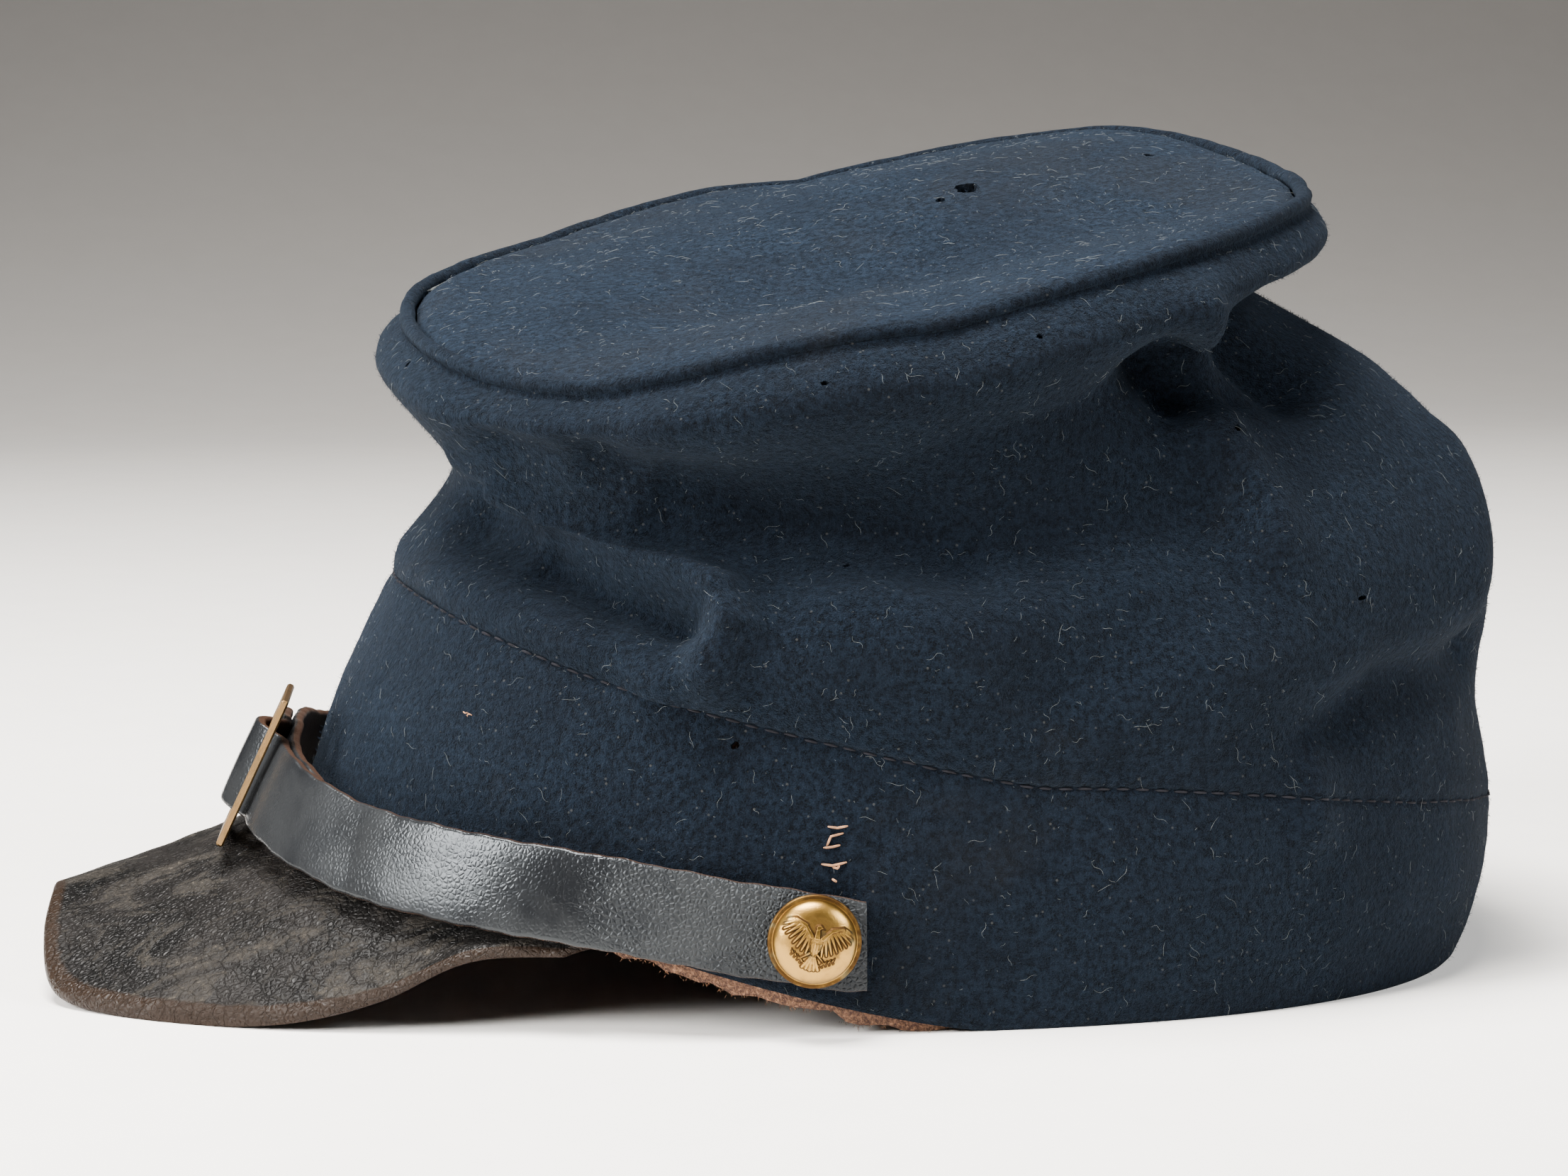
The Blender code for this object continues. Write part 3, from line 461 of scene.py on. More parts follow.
# part, length, width, front y, back y, left x, right x, squareness, rise at four sides
RINGS = (
    ("band", BAND_LENGTH, BAND_WIDTH, BOTTOM_FRONT, BOTTOM_BACK, 0.500, -0.500, 2.35,
     (0.00, 0.00, 0.00, 0.00)),
    ("band", BAND_LENGTH, BAND_WIDTH, -0.362, 0.594, 0.500, -0.500, 2.35, (0.42, 0.50, 0.50, 0.50)),
    ("band", BAND_LENGTH, BAND_WIDTH, -0.316, 0.602, 0.484, -0.484, 2.30, (1.00, 1.00, 1.00, 1.00)),
    ("crown", BAND_LENGTH, BAND_WIDTH, -0.312, 0.585, 0.492, -0.490, 2.30, (0.09, 0.10, 0.19, 0.10)),
    ("crown", BAND_LENGTH, BAND_WIDTH, -0.298, 0.596, 0.494, -0.496, 2.25, (0.18, 0.24, 0.36, 0.25)),
    ("crown", BAND_LENGTH, BAND_WIDTH, -0.280, 0.583, 0.474, -0.490, 2.20, (0.29, 0.40, 0.54, 0.41)),
    ("crown", BAND_LENGTH, BAND_WIDTH, -0.266, 0.509, 0.436, -0.478, 2.20, (0.41, 0.55, 0.71, 0.58)),
    ("crown", TOP_LENGTH, TOP_WIDTH, -0.347, 0.466, 0.478, -0.525, 2.20, (0.53, 0.71, 0.89, 0.75)),
    ("crown", TOP_LENGTH, TOP_WIDTH, -0.415, 0.573, 0.524, -0.530, 2.25, (0.85, 0.89, 0.95, 0.90)),
    ("crown", TOP_LENGTH, TOP_WIDTH, -0.387, 0.559, 0.488, -0.492, 2.25, (1.00, 1.00, 1.00, 1.00)),
)
SEAM_RING = 2
TOP_RING = len(RINGS) - 1

# %% Folds and finer creases: start turn and ring, end turn and ring, height, half width
FOLDS = (
    (0.056, 7.30, 0.074, 7.00, 0.26, 0.38),
    (0.074, 7.00, 0.095, 6.45, 0.54, 0.36),
    (0.095, 6.45, 0.124, 5.75, 0.76, 0.40),
    (0.124, 5.75, 0.145, 5.40, 0.88, 0.43),
    (0.145, 5.40, 0.159, 5.00, 0.92, 0.46),
    (0.159, 5.00, 0.165, 4.40, 0.84, 0.48),
    (0.165, 4.40, 0.164, 3.50, 0.62, 0.52),
    (0.164, 3.50, 0.152, 2.50, 0.26, 0.58),
    (0.045, 5.40, 0.092, 5.40, -0.40, 0.70),
    (0.092, 5.40, 0.125, 4.90, -0.74, 0.70),
    (0.125, 4.90, 0.146, 4.50, -0.74, 0.58),
    (0.094, 7.62, 0.138, 7.55, -0.36, 0.55),
    (0.138, 7.55, 0.165, 7.10, -0.60, 0.70),
    (0.165, 7.10, 0.195, 6.55, -0.76, 0.85),
    (0.195, 6.55, 0.240, 5.90, -0.76, 0.95),
    (0.240, 5.90, 0.308, 5.77, -0.52, 1.05),
    (0.173, 8.08, 0.304, 7.27, 0.20, 1.00),
    (0.343, 8.40, 0.338, 8.10, 0.30, 0.38),
    (0.338, 8.10, 0.368, 7.40, 0.60, 0.42),
    (0.368, 7.40, 0.376, 6.85, 0.62, 0.44),
    (0.376, 6.85, 0.364, 6.60, 0.40, 0.40),
    (0.357, 7.05, 0.353, 6.68, -0.60, 0.60),
    (0.407, 6.85, 0.396, 6.43, -0.60, 0.75),
    (0.345, 6.42, 0.323, 5.38, 0.40, 0.65),
    (0.302, 4.92, 0.250, 3.98, -0.32, 0.90),
    (0.426, 3.53, 0.359, 3.40, -0.34, 0.60),
    (0.359, 3.40, 0.330, 2.97, -0.28, 0.60),
    (0.329, 2.72, 0.325, 1.80, 0.22, 0.60),
    (0.196, 5.00, 0.246, 4.80, 0.18, 1.10),
    (0.447, 5.33, 0.415, 4.28, 0.30, 0.90),
    (0.610, 7.00, 0.860, 6.90, -0.45, 1.10),
    (0.920, 6.80, 0.820, 4.40, 0.38, 0.80),
    (0.700, 5.60, 0.680, 3.40, -0.32, 0.85),
    (0.560, 5.20, 0.590, 3.60, 0.30, 0.90),
)
FOLDS_FADE = 7.6
CREASES = (
    (0.353, 6.62, 0.366, 6.52, -0.30, 0.32),
    (0.346, 6.32, 0.328, 5.57, 0.12, 0.35),
    (0.426, 3.53, 0.359, 3.58, -0.14, 0.35),
    (0.359, 3.58, 0.330, 2.97, -0.12, 0.35),
    (0.227, 1.92, 0.217, 0.75, -0.07, 0.16),
    (0.233, 1.92, 0.225, 0.80, 0.05, 0.20),
    (0.328, 2.80, 0.324, 1.70, 0.10, 0.25),
    (0.640, 5.00, 0.620, 4.00, 0.14, 0.40),
    (0.780, 6.00, 0.740, 5.00, -0.14, 0.40),
    (0.850, 3.80, 0.860, 2.60, 0.10, 0.40),
)


# %% Smooth curves through the rings
def cubic(before, start, end, after, along):
    """Value on the smooth curve between start and end, whose neighbours are given too."""
    slope = end - before
    bend = 2 * before - 5 * start + 4 * end - after
    twist = 3 * (start - end) + after - before
    return start + 0.5 * along * (slope + along * (bend + along * twist))


def round_loop(values, turns):
    """Smooth curve round a closed loop of evenly spaced values."""
    values = np.asarray(values, float)
    place = np.mod(turns, 1.0) * len(values)
    cell = np.floor(place).astype(int)
    near = [values[(cell + step) % len(values)] for step in (-1, 0, 1, 2)]
    return cubic(*near, place - cell)


def up_rows(rows, level):
    """Curve through rows of points, at a level counted in rows: smooth but for a break at the seam."""
    last = len(rows) - 1
    cell = min(int(level), last - 1)
    if level <= SEAM_RING:
        cell = min(cell, SEAM_RING - 1)
    near = [rows[min(max(cell + step, 0), last)] for step in (-1, 0, 1, 2)]
    if cell == SEAM_RING - 1:
        near[3] = 2 * near[2] - near[1]
    if cell == SEAM_RING:
        near[0] = 2 * near[1] - near[2]
    return cubic(*near, level - cell)


def smooth_table(table, place):
    """Row read from a table whose first column is the place, by a smooth curve."""
    table = np.asarray(table, float)
    places = table[:, 0]
    place = min(max(place, places[0]), places[-1])
    cell = min(int(np.searchsorted(places, place, side="right")) - 1, len(places) - 2)
    along = (place - places[cell]) / (places[cell + 1] - places[cell])
    last = len(places) - 1
    near = [table[min(max(cell + step, 0), last), 1:] for step in (-1, 0, 1, 2)]
    return cubic(*near, along)


def smooth_step(values):
    values = np.clip(values, 0.0, 1.0)
    return values * values * (3 - 2 * values)


def unit(vectors):
    """Vectors brought to a length of one."""
    return vectors / np.linalg.norm(vectors, axis=-1, keepdims=True)


def read_along(places, along, line):
    """Points or directions of a line, read at places along it."""
    return np.stack([np.interp(places, along, line[:, axis]) for axis in range(3)], axis=-1)


def signed_power(value, power):
    return np.sign(value) * np.abs(value) ** power


# %% Points of the wall
def front_lift(y):
    """Height of the bottom edge, which rises in a curve towards the front."""
    start = LIFT_STARTS * BAND_LENGTH
    front = BOTTOM_FRONT * BAND_LENGTH
    return FRONT_LIFT * np.clip((start - y) / (start - front), 0.0, None) ** LIFT_POWER


def ring_points(row, turns):
    """Points round one ring of the table."""
    part, length, width, front, back, left, right, square, up = row
    angle = 2 * math.pi * turns
    across = signed_power(np.sin(angle), 2 / square)
    along = -signed_power(np.cos(angle), 2 / square)
    x = np.where(across > 0, left, -right) * width * across
    y = length * ((front + back) / 2 + (back - front) / 2 * along)
    middle = (BOTTOM_FRONT + BOTTOM_BACK) / 2
    floor_y = BAND_LENGTH * (middle + (BOTTOM_BACK - middle) * along)
    seam_rise = BAND_HEIGHT * round_loop(BAND_SHAPE, turns)
    rise = round_loop(up, turns)
    z = front_lift(floor_y) + rise * seam_rise
    if part == "crown":
        z = front_lift(floor_y) + seam_rise + rise * CROWN_RISE * round_loop(CROWN_SHAPE, turns)
    return np.stack([x, y, z], axis=-1)


def wall_directions(points, levels):
    """Outward directions of the wall, turned level at the floor so that its edge stays flat."""
    around = np.roll(points, -1, axis=1) - np.roll(points, 1, axis=1)
    outward = np.cross(around, np.gradient(points, axis=0))
    outward[..., 2] *= np.clip(np.asarray(levels) / SEAM_RING, 0.0, 1.0)[:, None]
    return unit(outward)


def line_distance(points, start, end):
    line = end - start
    share = np.clip((points - start) @ line / max(line @ line, 1e-9), 0.0, 1.0)
    return np.linalg.norm(points - start - share[..., None] * line, axis=-1)


def place_on_rings(turn, level):
    """Point of the unfolded wall at one turn and level."""
    return up_rows([ring_points(row, np.array([turn]))[0] for row in RINGS], level)


# %% [markdown]
# Cloth is never quite smooth between its folds, so low waves are added. They are a sum of a few
# sine waves that cross at odd angles, which costs little and looks uneven.

# %% Low waves, and the folded wall itself
def uneven(points, length, count=9, seed=3):
    """Sum of crossing waves about as long as given (mm), from -1 to 1."""
    waves = np.random.default_rng(seed)
    total = np.zeros(points.shape[:-1])
    for _ in range(count):
        direction = waves.normal(size=3)
        direction /= np.linalg.norm(direction)
        pitch = length * waves.uniform(0.7, 1.5)
        total += np.sin(points @ direction * (2 * math.pi / pitch) + waves.uniform(0, 6.28))
    return total / math.sqrt(count) / 1.6


AROUND = 320
BAND_LEVELS = 22
CROWN_LEVELS = 92
WAVES = ((38.0, 0.55), (13.0, 0.22), (5.5, 0.07))
SEAM_GROOVE = 0.40


def fold_shares(points):
    """Push of all folds. Rows that meet end to start are one fold, and there the strongest counts."""
    total, fold, last_end = np.zeros(points.shape[:2]), 0.0, None
    for start_turn, start_ring, end_turn, end_ring, height, half_width in FOLDS + CREASES:
        away = line_distance(points, place_on_rings(start_turn, start_ring),
                             place_on_rings(end_turn, end_ring))
        stretch = height * np.exp(-(away / (half_width * FOLD_WIDTH)) ** 2)
        if (start_turn, start_ring) == last_end:
            fold = np.where(np.abs(stretch) > np.abs(fold), stretch, fold)
        else:
            total += fold
            fold = stretch
        last_end = (end_turn, end_ring)
    return total + fold


def cap_wall(levels):
    """Points and outward directions of the folded wall at each level."""
    turns = np.arange(AROUND) / AROUND
    rows = [ring_points(row, turns) for row in RINGS]
    points = np.array([up_rows(rows, level) for level in levels])
    outward = wall_directions(points, levels)
    push = FOLD_DEPTH * fold_shares(points)
    fade = smooth_step((TOP_RING - levels) / (TOP_RING - FOLDS_FADE))
    push *= fade[:, None]
    steady = smooth_step(levels / 0.6)[:, None]
    for length, height in WAVES:
        push += height * steady * uneven(points, length, seed=int(length))
    push -= SEAM_GROOVE * np.exp(-((levels[:, None] - SEAM_RING) / 0.055) ** 2)
    points = points + push[..., None] * outward
    return points, wall_directions(points, levels)


seam_spread = np.array([-0.12, -0.06, 0.06, 0.12])
band_levels = np.concatenate([np.linspace(0, SEAM_RING - 0.2, BAND_LEVELS),
                              SEAM_RING + seam_spread[:2], [SEAM_RING]])
crown_levels = np.concatenate([[SEAM_RING], SEAM_RING + seam_spread[2:],
                               np.linspace(SEAM_RING + 0.2, TOP_RING, CROWN_LEVELS)])
wall_levels = np.concatenate([band_levels, crown_levels[1:]])
wall_points, wall_outward = cap_wall(wall_levels)
print("wall grid", wall_points.shape, "from", wall_points.min((0, 1)).round(1),
      "to", wall_points.max((0, 1)).round(1))


# %% Mesh helpers
def turn_outwards(mesh):
    """Make every face of a closed mesh look outwards."""
    shape = bmesh.new()
    shape.from_mesh(mesh)
    bmesh.ops.recalc_face_normals(shape, faces=shape.faces)
    shape.to_mesh(mesh)
    shape.free()


def add_piece(name, vertices, faces, material, slot, replaced=(), masks=None, sharp=55):
    """Mesh object of faces turned outwards, on the cap's one body and never below the floor."""
    mesh = bpy.data.meshes.new(name)
    points = np.array(vertices, float)
    points[:, 2] = np.maximum(points[:, 2], 0.0)
    mesh.from_pydata((points * MM).tolist(), [], faces)
    for label, values in (masks or {}).items():
        layer = mesh.attributes.new(label, "FLOAT", "POINT")
        layer.data.foreach_set("value", np.asarray(values, np.float32))
    turn_outwards(mesh)
    mesh.shade_smooth()
    mesh.set_sharp_from_angle(angle=math.radians(sharp))
    mesh.materials.append(material)
    piece = bpy.data.objects.new(name, mesh)
    bpy.context.scene.collection.objects.link(piece)
    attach(piece, "root")
    if replaced:
        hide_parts(*replaced)
    print(f"{name}: {len(mesh.vertices)} points, {len(mesh.polygons)} faces")
    return piece


def ring_faces(rings, count, start=0, flip=False, closed=False):
    """Faces between neighbouring rings of count points each."""
    step = np.arange(count)
    following = (step + 1) % count
    faces = []
    for ring in range(rings if closed else rings - 1):
        here, ahead = start + ring * count, start + (ring + 1) % rings * count
        quad = [here + step, here + following, ahead + following, ahead + step]
        faces.extend(np.stack(quad[::-1] if flip else quad, axis=1).tolist())
    return faces


def sleeve_faces(outer, inner):
    """Points and faces of a closed wall between two sleeves of the same grid."""
    rings, count = outer.shape[:2]
    vertices = np.concatenate([outer.reshape(-1, 3), inner.reshape(-1, 3)])
    step = np.arange(count)
    following = (step + 1) % count
    faces = ring_faces(rings, count) + ring_faces(rings, count, rings * count, True)
    for edge in (0, (rings - 1) * count):
        inside = rings * count + edge
        faces.extend(np.stack([edge + step, edge + following, inside + following, inside + step],
                              axis=1).tolist())
    return vertices, faces


# %% Band and crown wall
band_rows = len(band_levels)
FLOOR_ROUND = 0.5
SEAM_ROUND = 0.12
WELT_REACH = 0.65
SETTLE_ROUNDS = 12


def settled(directions):
    """Directions averaged with their neighbours, so that the inside of a sharp fold stays inside."""
    for _ in range(SETTLE_ROUNDS):
        directions = (np.roll(directions, 1, 1) + np.roll(directions, -1, 1) + 2 * directions) / 4
        directions[1:-1] = (directions[:-2] + directions[2:] + 2 * directions[1:-1]) / 4
    return unit(directions)


def cloth_sleeves(outer, outward, low_round, high_round):
    """Outer and inner sleeve of a cloth wall, drawn in a little at its lower and upper edge."""
    outer, inner = outer.copy(), outer - CLOTH * settled(outward)
    for edge, rounding in ((0, low_round), (-1, high_round)):
        outer[edge] -= rounding * outward[edge]
        inner[edge] += rounding * outward[edge]
    return outer, inner


band_outer, band_inner = cloth_sleeves(wall_points[:band_rows], wall_outward[:band_rows],
                                       FLOOR_ROUND, SEAM_ROUND)
band = add_piece("band_cloth", *sleeve_faces(band_outer, band_inner), WOOL_BAND, "wool", ("band",))
crown_outer, crown_inner = cloth_sleeves(wall_points[band_rows - 1:],
                                         wall_outward[band_rows - 1:], SEAM_ROUND, 0.0)
crown_outer[-1] += [0, 0, WELT_REACH]
crown = add_piece("crown_cloth", *sleeve_faces(crown_outer, crown_inner), WOOL_SIDE, "wool",
                  ("crown_side",))

# %% [markdown]
# ## Head strip
# A leather strip is sewn inside the band. Where the front of the cap is lifted, its torn lower
# edge hangs a little below the cloth, and its fibres show as a furry reddish line.

# %% Head strip
SWEAT_HEIGHT = 30.0
SWEAT_LEATHER = 1.2
SWEAT_SHOWS = 1.9
sweat_levels = np.linspace(0, SEAM_RING * SWEAT_HEIGHT / BAND_HEIGHT, 14)
sweat_wall, sweat_outward = cap_wall(sweat_levels)
hang = np.minimum(front_lift(sweat_wall[0, :, 1]), SWEAT_SHOWS)
torn_line = 1.0 + 0.45 * uneven(sweat_wall[0], 7.0, seed=21) + 0.25 * uneven(sweat_wall[0], 2.6, seed=22)
sweat_wall[0, :, 2] -= np.clip(hang * torn_line, 0.0, front_lift(sweat_wall[0, :, 1]))
sweat_outer = sweat_wall - (CLOTH + SEAM_GAP) * sweat_outward
sweat_inner = sweat_outer - SWEAT_LEATHER * sweat_outward
torn_mask = np.zeros(sweat_wall.shape[:2])
torn_mask[0] = 1.0
torn_mask[1] = 0.25
add_piece("head_strip", *sleeve_faces(sweat_outer, sweat_inner), SWEAT_FINISH,
          "sweat_leather", ("sweatband",),
          {"edge": np.concatenate([torn_mask.ravel()] * 2)})

# %% [markdown]
# ## Top and welt
# The flat top is a disc of cloth, warped by long soft waves. A cord covered with the same cloth
# fills the seam round it, in a shallow groove. Moths and wear have opened a few holes.

# %% Top of the crown
WELT_DIAMETER = 2.8
TOP_RINGS = 44
TOP_WAVES = (
    (-0.18, 0.10, 0.55, 0.186, 0.286),
    (0.16, 0.00, -0.45, 0.129, 0.298),
    (0.05, -0.30, 0.25, 0.214, 0.083),
    (-0.25, 0.36, 0.30, 0.171, 0.119),
    (0.12, 0.36, -0.30, 0.129, 0.095),
    (0.30, -0.14, 0.15, 0.086, 0.143),
)
GROOVE_DEPTH = 1.1


def level_outward(ring):
    around = np.roll(ring, -1, axis=0) - np.roll(ring, 1, axis=0)
    return unit(np.stack([around[:, 1], -around[:, 0], np.zeros(len(ring))], axis=-1))


rim = wall_points[-1]
welt_line = rim - 0.5 * CLOTH * level_outward(rim) + [0, 0, SEAM_GAP + WELT_DIAMETER / 2]
top_line = welt_line - (WELT_DIAMETER / 2 + SEAM_GAP) * level_outward(welt_line)


def top_height(places, middle, slope, above, share):
    """Height of the top: a tilted plane, the edge's own rise and fall, and the waves."""
    height = (places[:, :2] - middle[:2]) @ slope[:2] + slope[2] + above * share ** 2.5
    for x_share, y_share, wave, x_half, y_half in TOP_WAVES:
        offset_x = ((places[:, 0] - middle[0]) / TOP_WIDTH - x_share) / x_half
        offset_y = ((places[:, 1] - middle[1]) / TOP_LENGTH - y_share) / y_half
        height += (1 - share ** 4) * wave * FOLD_DEPTH * np.exp(-offset_x ** 2 - offset_y ** 2)
    flat = places * [1, 1, 0]
    height += (1 - share ** 6) * (0.35 * uneven(flat, 30.0, seed=5) + 0.15 * uneven(flat, 11.0, seed=6))
    groove = math.exp(-((1 - share) / 0.02) ** 2)
    swell = math.exp(-((1 - share - 0.075) / 0.035) ** 2)
    return height - GROOVE_DEPTH * groove + 0.35 * swell


middle = top_line.mean(axis=0)
slope = np.linalg.lstsq(np.column_stack([top_line[:, :2] - middle[:2], np.ones(len(top_line))]),
                        top_line[:, 2], rcond=None)[0]
above = top_line[:, 2] - (top_line[:, :2] - middle[:2]) @ slope[:2] - slope[2]
shares = 1 - np.linspace(0, 1, TOP_RINGS + 1)[:-1] ** 1.25
top_rings = []
for share in shares:
    ring = middle + share * (top_line - middle)
    ring[:, 2] = top_height(ring, middle, slope, above, share)
    top_rings.append(ring)
top_rings = np.array(top_rings)
centre = np.array([middle[0], middle[1], top_rings[-1][:, 2].mean()])


def disc_faces(rings, centre, thickness):
    """Points and faces of a closed disc with a rounded edge."""
    count = rings.shape[1]
    vertices, faces = [], []
    step = np.arange(count)
    following = (step + 1) % count
    sheet_size = rings.shape[0] * count + 1
    for side in (0.5, -0.5):
        sheet = rings + [0, 0, side * thickness]
        sheet[0, :, 2] -= side * 0.5
        vertices.extend([sheet.reshape(-1, 3), (centre + [0, 0, side * thickness])[None]])
    for side in (0, 1):
        base = side * sheet_size
        faces.extend(ring_faces(rings.shape[0], count, base, side == 1))
        here = base + (rings.shape[0] - 1) * count
        hub = np.full(count, base + sheet_size - 1)
        fan = [here + step, here + following, hub]
        faces.extend(np.stack(fan if side == 0 else fan[::-1], axis=1).tolist())
    faces.extend(np.stack([step, sheet_size + step, sheet_size + following, following],
                          axis=1).tolist())
    return np.concatenate(vertices), faces


top = add_piece("top_cloth", *disc_faces(top_rings, centre, CLOTH), WOOL_TOP, "wool",
                ("crown_top",))

# %% Welt
WELT_SIDES = 12


def tube(path, outward, radius, sides, closed=True, swell=None):
    """Points and faces of a round tube along a path with known outward directions."""
    along = np.roll(path, -1, axis=0) - np.roll(path, 1, axis=0)
    if not closed:
        along[0], along[-1] = path[1] - path[0], path[-1] - path[-2]
    along = unit(along)
    side = unit(outward - (outward * along).sum(1, keepdims=True) * along)
    up = np.cross(along, side)
    size = np.full(len(path), radius) if swell is None else radius * swell
    rings = []
    for angle in np.arange(sides) / sides * 2 * math.pi:
        rings.append(path + size[:, None] * (math.cos(angle) * side + math.sin(angle) * up))
    vertices = np.stack(rings, axis=1).reshape(-1, 3)
    faces = ring_faces(len(path), sides, closed=closed)
    if not closed:
        faces.append(tuple(range(sides))[::-1])
        faces.append(tuple((len(path) - 1) * sides + corner for corner in range(sides)))
    return vertices, faces


welt_swell = 1 + 0.05 * uneven(welt_line, 6.0, seed=8) + 0.03 * uneven(welt_line, 2.4, seed=9)
add_piece("welt_cord", *tube(welt_line, level_outward(welt_line), WELT_DIAMETER / 2,
                             WELT_SIDES, True, welt_swell), WOOL_SIDE, "wool", ("welt",))

# %% [markdown]
# ## Holes
# Each hole is cut right through the cloth, with a ragged cutter placed along the line of sight
# to the mark in the picture, so what shows inside is the dark of the cap.

# %% Holes: picture x and y, length and width (mm), tilt in the picture (degrees), piece
HOLES = (
    (1366, 265, 4.8, 3.6, 18, "top_cloth"),
    (1327, 282, 1.9, 1.5, 18, "top_cloth"),
    (1620, 219, 1.8, 1.4, 10, "top_cloth"),
    (575, 514, 1.7, 0.8, 60, "crown_cloth"),
    (1163, 540, 1.2, 0.9, 10, "crown_cloth"),
    (1467, 474, 1.2, 1.0, 0, "crown_cloth"),
    (1747, 603, 1.6, 1.2, 70, "crown_cloth"),
    (1194, 798, 1.3, 0.7, 20, "crown_cloth"),
    (1922, 843, 2.2, 0.8, 20, "crown_cloth"),
    (1037, 1051, 1.5, 1.3, 40, "band_cloth"),
)
cloth_pieces = {piece.name: piece for piece in (band, crown, top)}
surfaces = {name: BVHTree.FromObject(piece, bpy.context.evaluated_depsgraph_get())
            for name, piece in cloth_pieces.items()}


def on_surface(pixel, name):
    """Point (mm), outward direction and picture axes where a line of sight meets a piece."""
    direction = sight(pixel)
    point, normal, _, _ = surfaces[name].ray_cast(camera.location, direction)
    if point is None:
        print("no surface at", pixel, "on", name)
        return None
    if normal.dot(direction) > 0:
        normal.negate()
    across = (camera.rotation_quaternion @ Vector((1, 0, 0))).cross(normal).cross(normal)
    across = (-across).normalized()
    return np.array(point) / MM, np.array(normal), np.array(across), np.array(normal.cross(across))


def ragged_cutter(point, normal, across, up, length, width, tilt):
    """Small prism with an uneven outline."""
    sides = 14
    angles = np.arange(sides) / sides * 2 * math.pi
    reach = 1 + chance.uniform(-0.22, 0.22, sides)
    turn = math.radians(tilt)
    long_way = math.cos(turn) * across + math.sin(turn) * up
    short_way = -math.sin(turn) * across + math.cos(turn) * up
    outline = (np.cos(angles) * reach * length / 2)[:, None] * long_way \
        + (np.sin(angles) * reach * width / 2)[:, None] * short_way
    vertices = np.concatenate([point + outline + 3.5 * normal, point + outline - 4.5 * normal])
    faces = [tuple(range(sides))[::-1], tuple(range(sides, 2 * sides))]
    for step in range(sides):
        following = (step + 1) % sides
        faces.append((step, following, sides + following, sides + step))
    return vertices, faces


def joined(shapes):
    """Points and faces of many separate shapes as one."""
    vertices, faces, start = [], [], 0
    for points, sides in shapes:
        vertices.append(points)
        faces.extend(tuple(start + corner for corner in side) for side in sides)
        start += len(points)
    return np.concatenate(vertices), faces


def cut_holes(piece, cutters):
    """Cut all of a piece's holes at once and keep the result as its mesh."""
    vertices, faces = joined(cutters)
    mesh = bpy.data.meshes.new("hole_cutter")
    mesh.from_pydata((vertices * MM).tolist(), [], faces)
    turn_outwards(mesh)
    cutter = bpy.data.objects.new("hole_cutter", mesh)
    bpy.context.scene.collection.objects.link(cutter)
    cut = piece.modifiers.new("holes", "BOOLEAN")
    cut.object = cutter
    cut.operation = "DIFFERENCE"
    shaped = bpy.data.meshes.new_from_object(
        piece.evaluated_get(bpy.context.evaluated_depsgraph_get()))
    piece.modifiers.remove(cut)
    shaped.materials.clear()
    shaped.materials.append(piece.data.materials[0])
    piece.data = shaped
    bpy.data.objects.remove(cutter)


for name, piece in cloth_pieces.items():
    cutters = []
    for x, y, length, width, tilt, owner in HOLES:
        found = on_surface((x, y), owner) if owner == name else None
        if found is not None:
            cutters.append(ragged_cutter(*found, length, width, tilt))
    if cutters:
        cut_holes(piece, cutters)
        print(name, "has", len(cutters), "holes and", len(piece.data.polygons), "faces")

# %% [markdown]
# ## Peak
# The peak is a crescent of thick leather. Its inner edge tucks under the band, its outer edge
# dips to the surface at both corners, and old leather never lies quite even. The wear mask is
# painted along its outer edge, and the flesh mask on the underside.

# %% Peak
PEAK_REACH = 45.0
PEAK_LEATHER = 2.8
PEAK_EDGE = (
    (0.975, 0.000, 0.390),
    (1.000, 0.104, 0.255),
    (1.000, 0.190, 0.055),
    (0.860, 0.230, 0.000),
    (0.695, 0.245, 0.000),
    (0.520, 0.215, 0.050),
    (0.370, 0.150, 0.180),
    (0.240, 0.085, 0.400),
    (0.110, 0.040, 0.430),
)
PEAK_TURN = 0.158
PEAK_CAMBER = -0.015
PEAK_TIP = 1.4
PEAK_THINS_FROM = 0.5
PEAK_SKEW = 0.05
PEAK_AROUND = 181
PEAK_ACROSS = 40


def peak_lines():
    """Upper surface of the peak as lines outwards from the band, and each line's thickness."""
    places = np.linspace(-1, 1, PEAK_AROUND)
    ring = ring_points(RINGS[0], PEAK_TURN * places)
    along = ring_points(RINGS[0], PEAK_TURN * places + 0.001) \
        - ring_points(RINGS[0], PEAK_TURN * places - 0.001)
    outward = unit(np.stack([along[:, 1], -along[:, 0], np.zeros(len(along))], axis=-1))
    table = [(place, *row) for place, row in zip(np.linspace(0, 1, len(PEAK_EDGE)), PEAK_EDGE)]
    table.insert(0, (-table[1][0], table[1][1], -table[1][2], table[1][3]))
    lines, thicknesses = [], []
    for place, inside, facing in zip(places, ring, outward):
        forward, sideways, height = smooth_table(table, abs(place))
        forward += PEAK_SKEW * math.sin(math.pi * min(max(2 * place, -1.0), 1.0))
        thinned = max(abs(place) - PEAK_THINS_FROM, 0.0) / (1 - PEAK_THINS_FROM)
        thickness = PEAK_LEATHER + (PEAK_TIP - PEAK_LEATHER) * thinned
        start = inside - CLOTH * facing
        start[2] = front_lift(inside[1]) - SEAM_GAP
        end = inside + PEAK_REACH * np.array([math.copysign(sideways, place), -forward, 0.0])
        end[2] = max(height, 0.0) * FRONT_LIFT + thickness
        share = np.linspace(0, 1, PEAK_ACROSS)[:, None]
        line = start + share * (end - start)
        line[:, 2] += PEAK_CAMBER * PEAK_REACH * np.sin(math.pi * share[:, 0]) * forward
        lines.append(line)
        thicknesses.append(thickness)
    return np.array(lines), np.array(thicknesses)


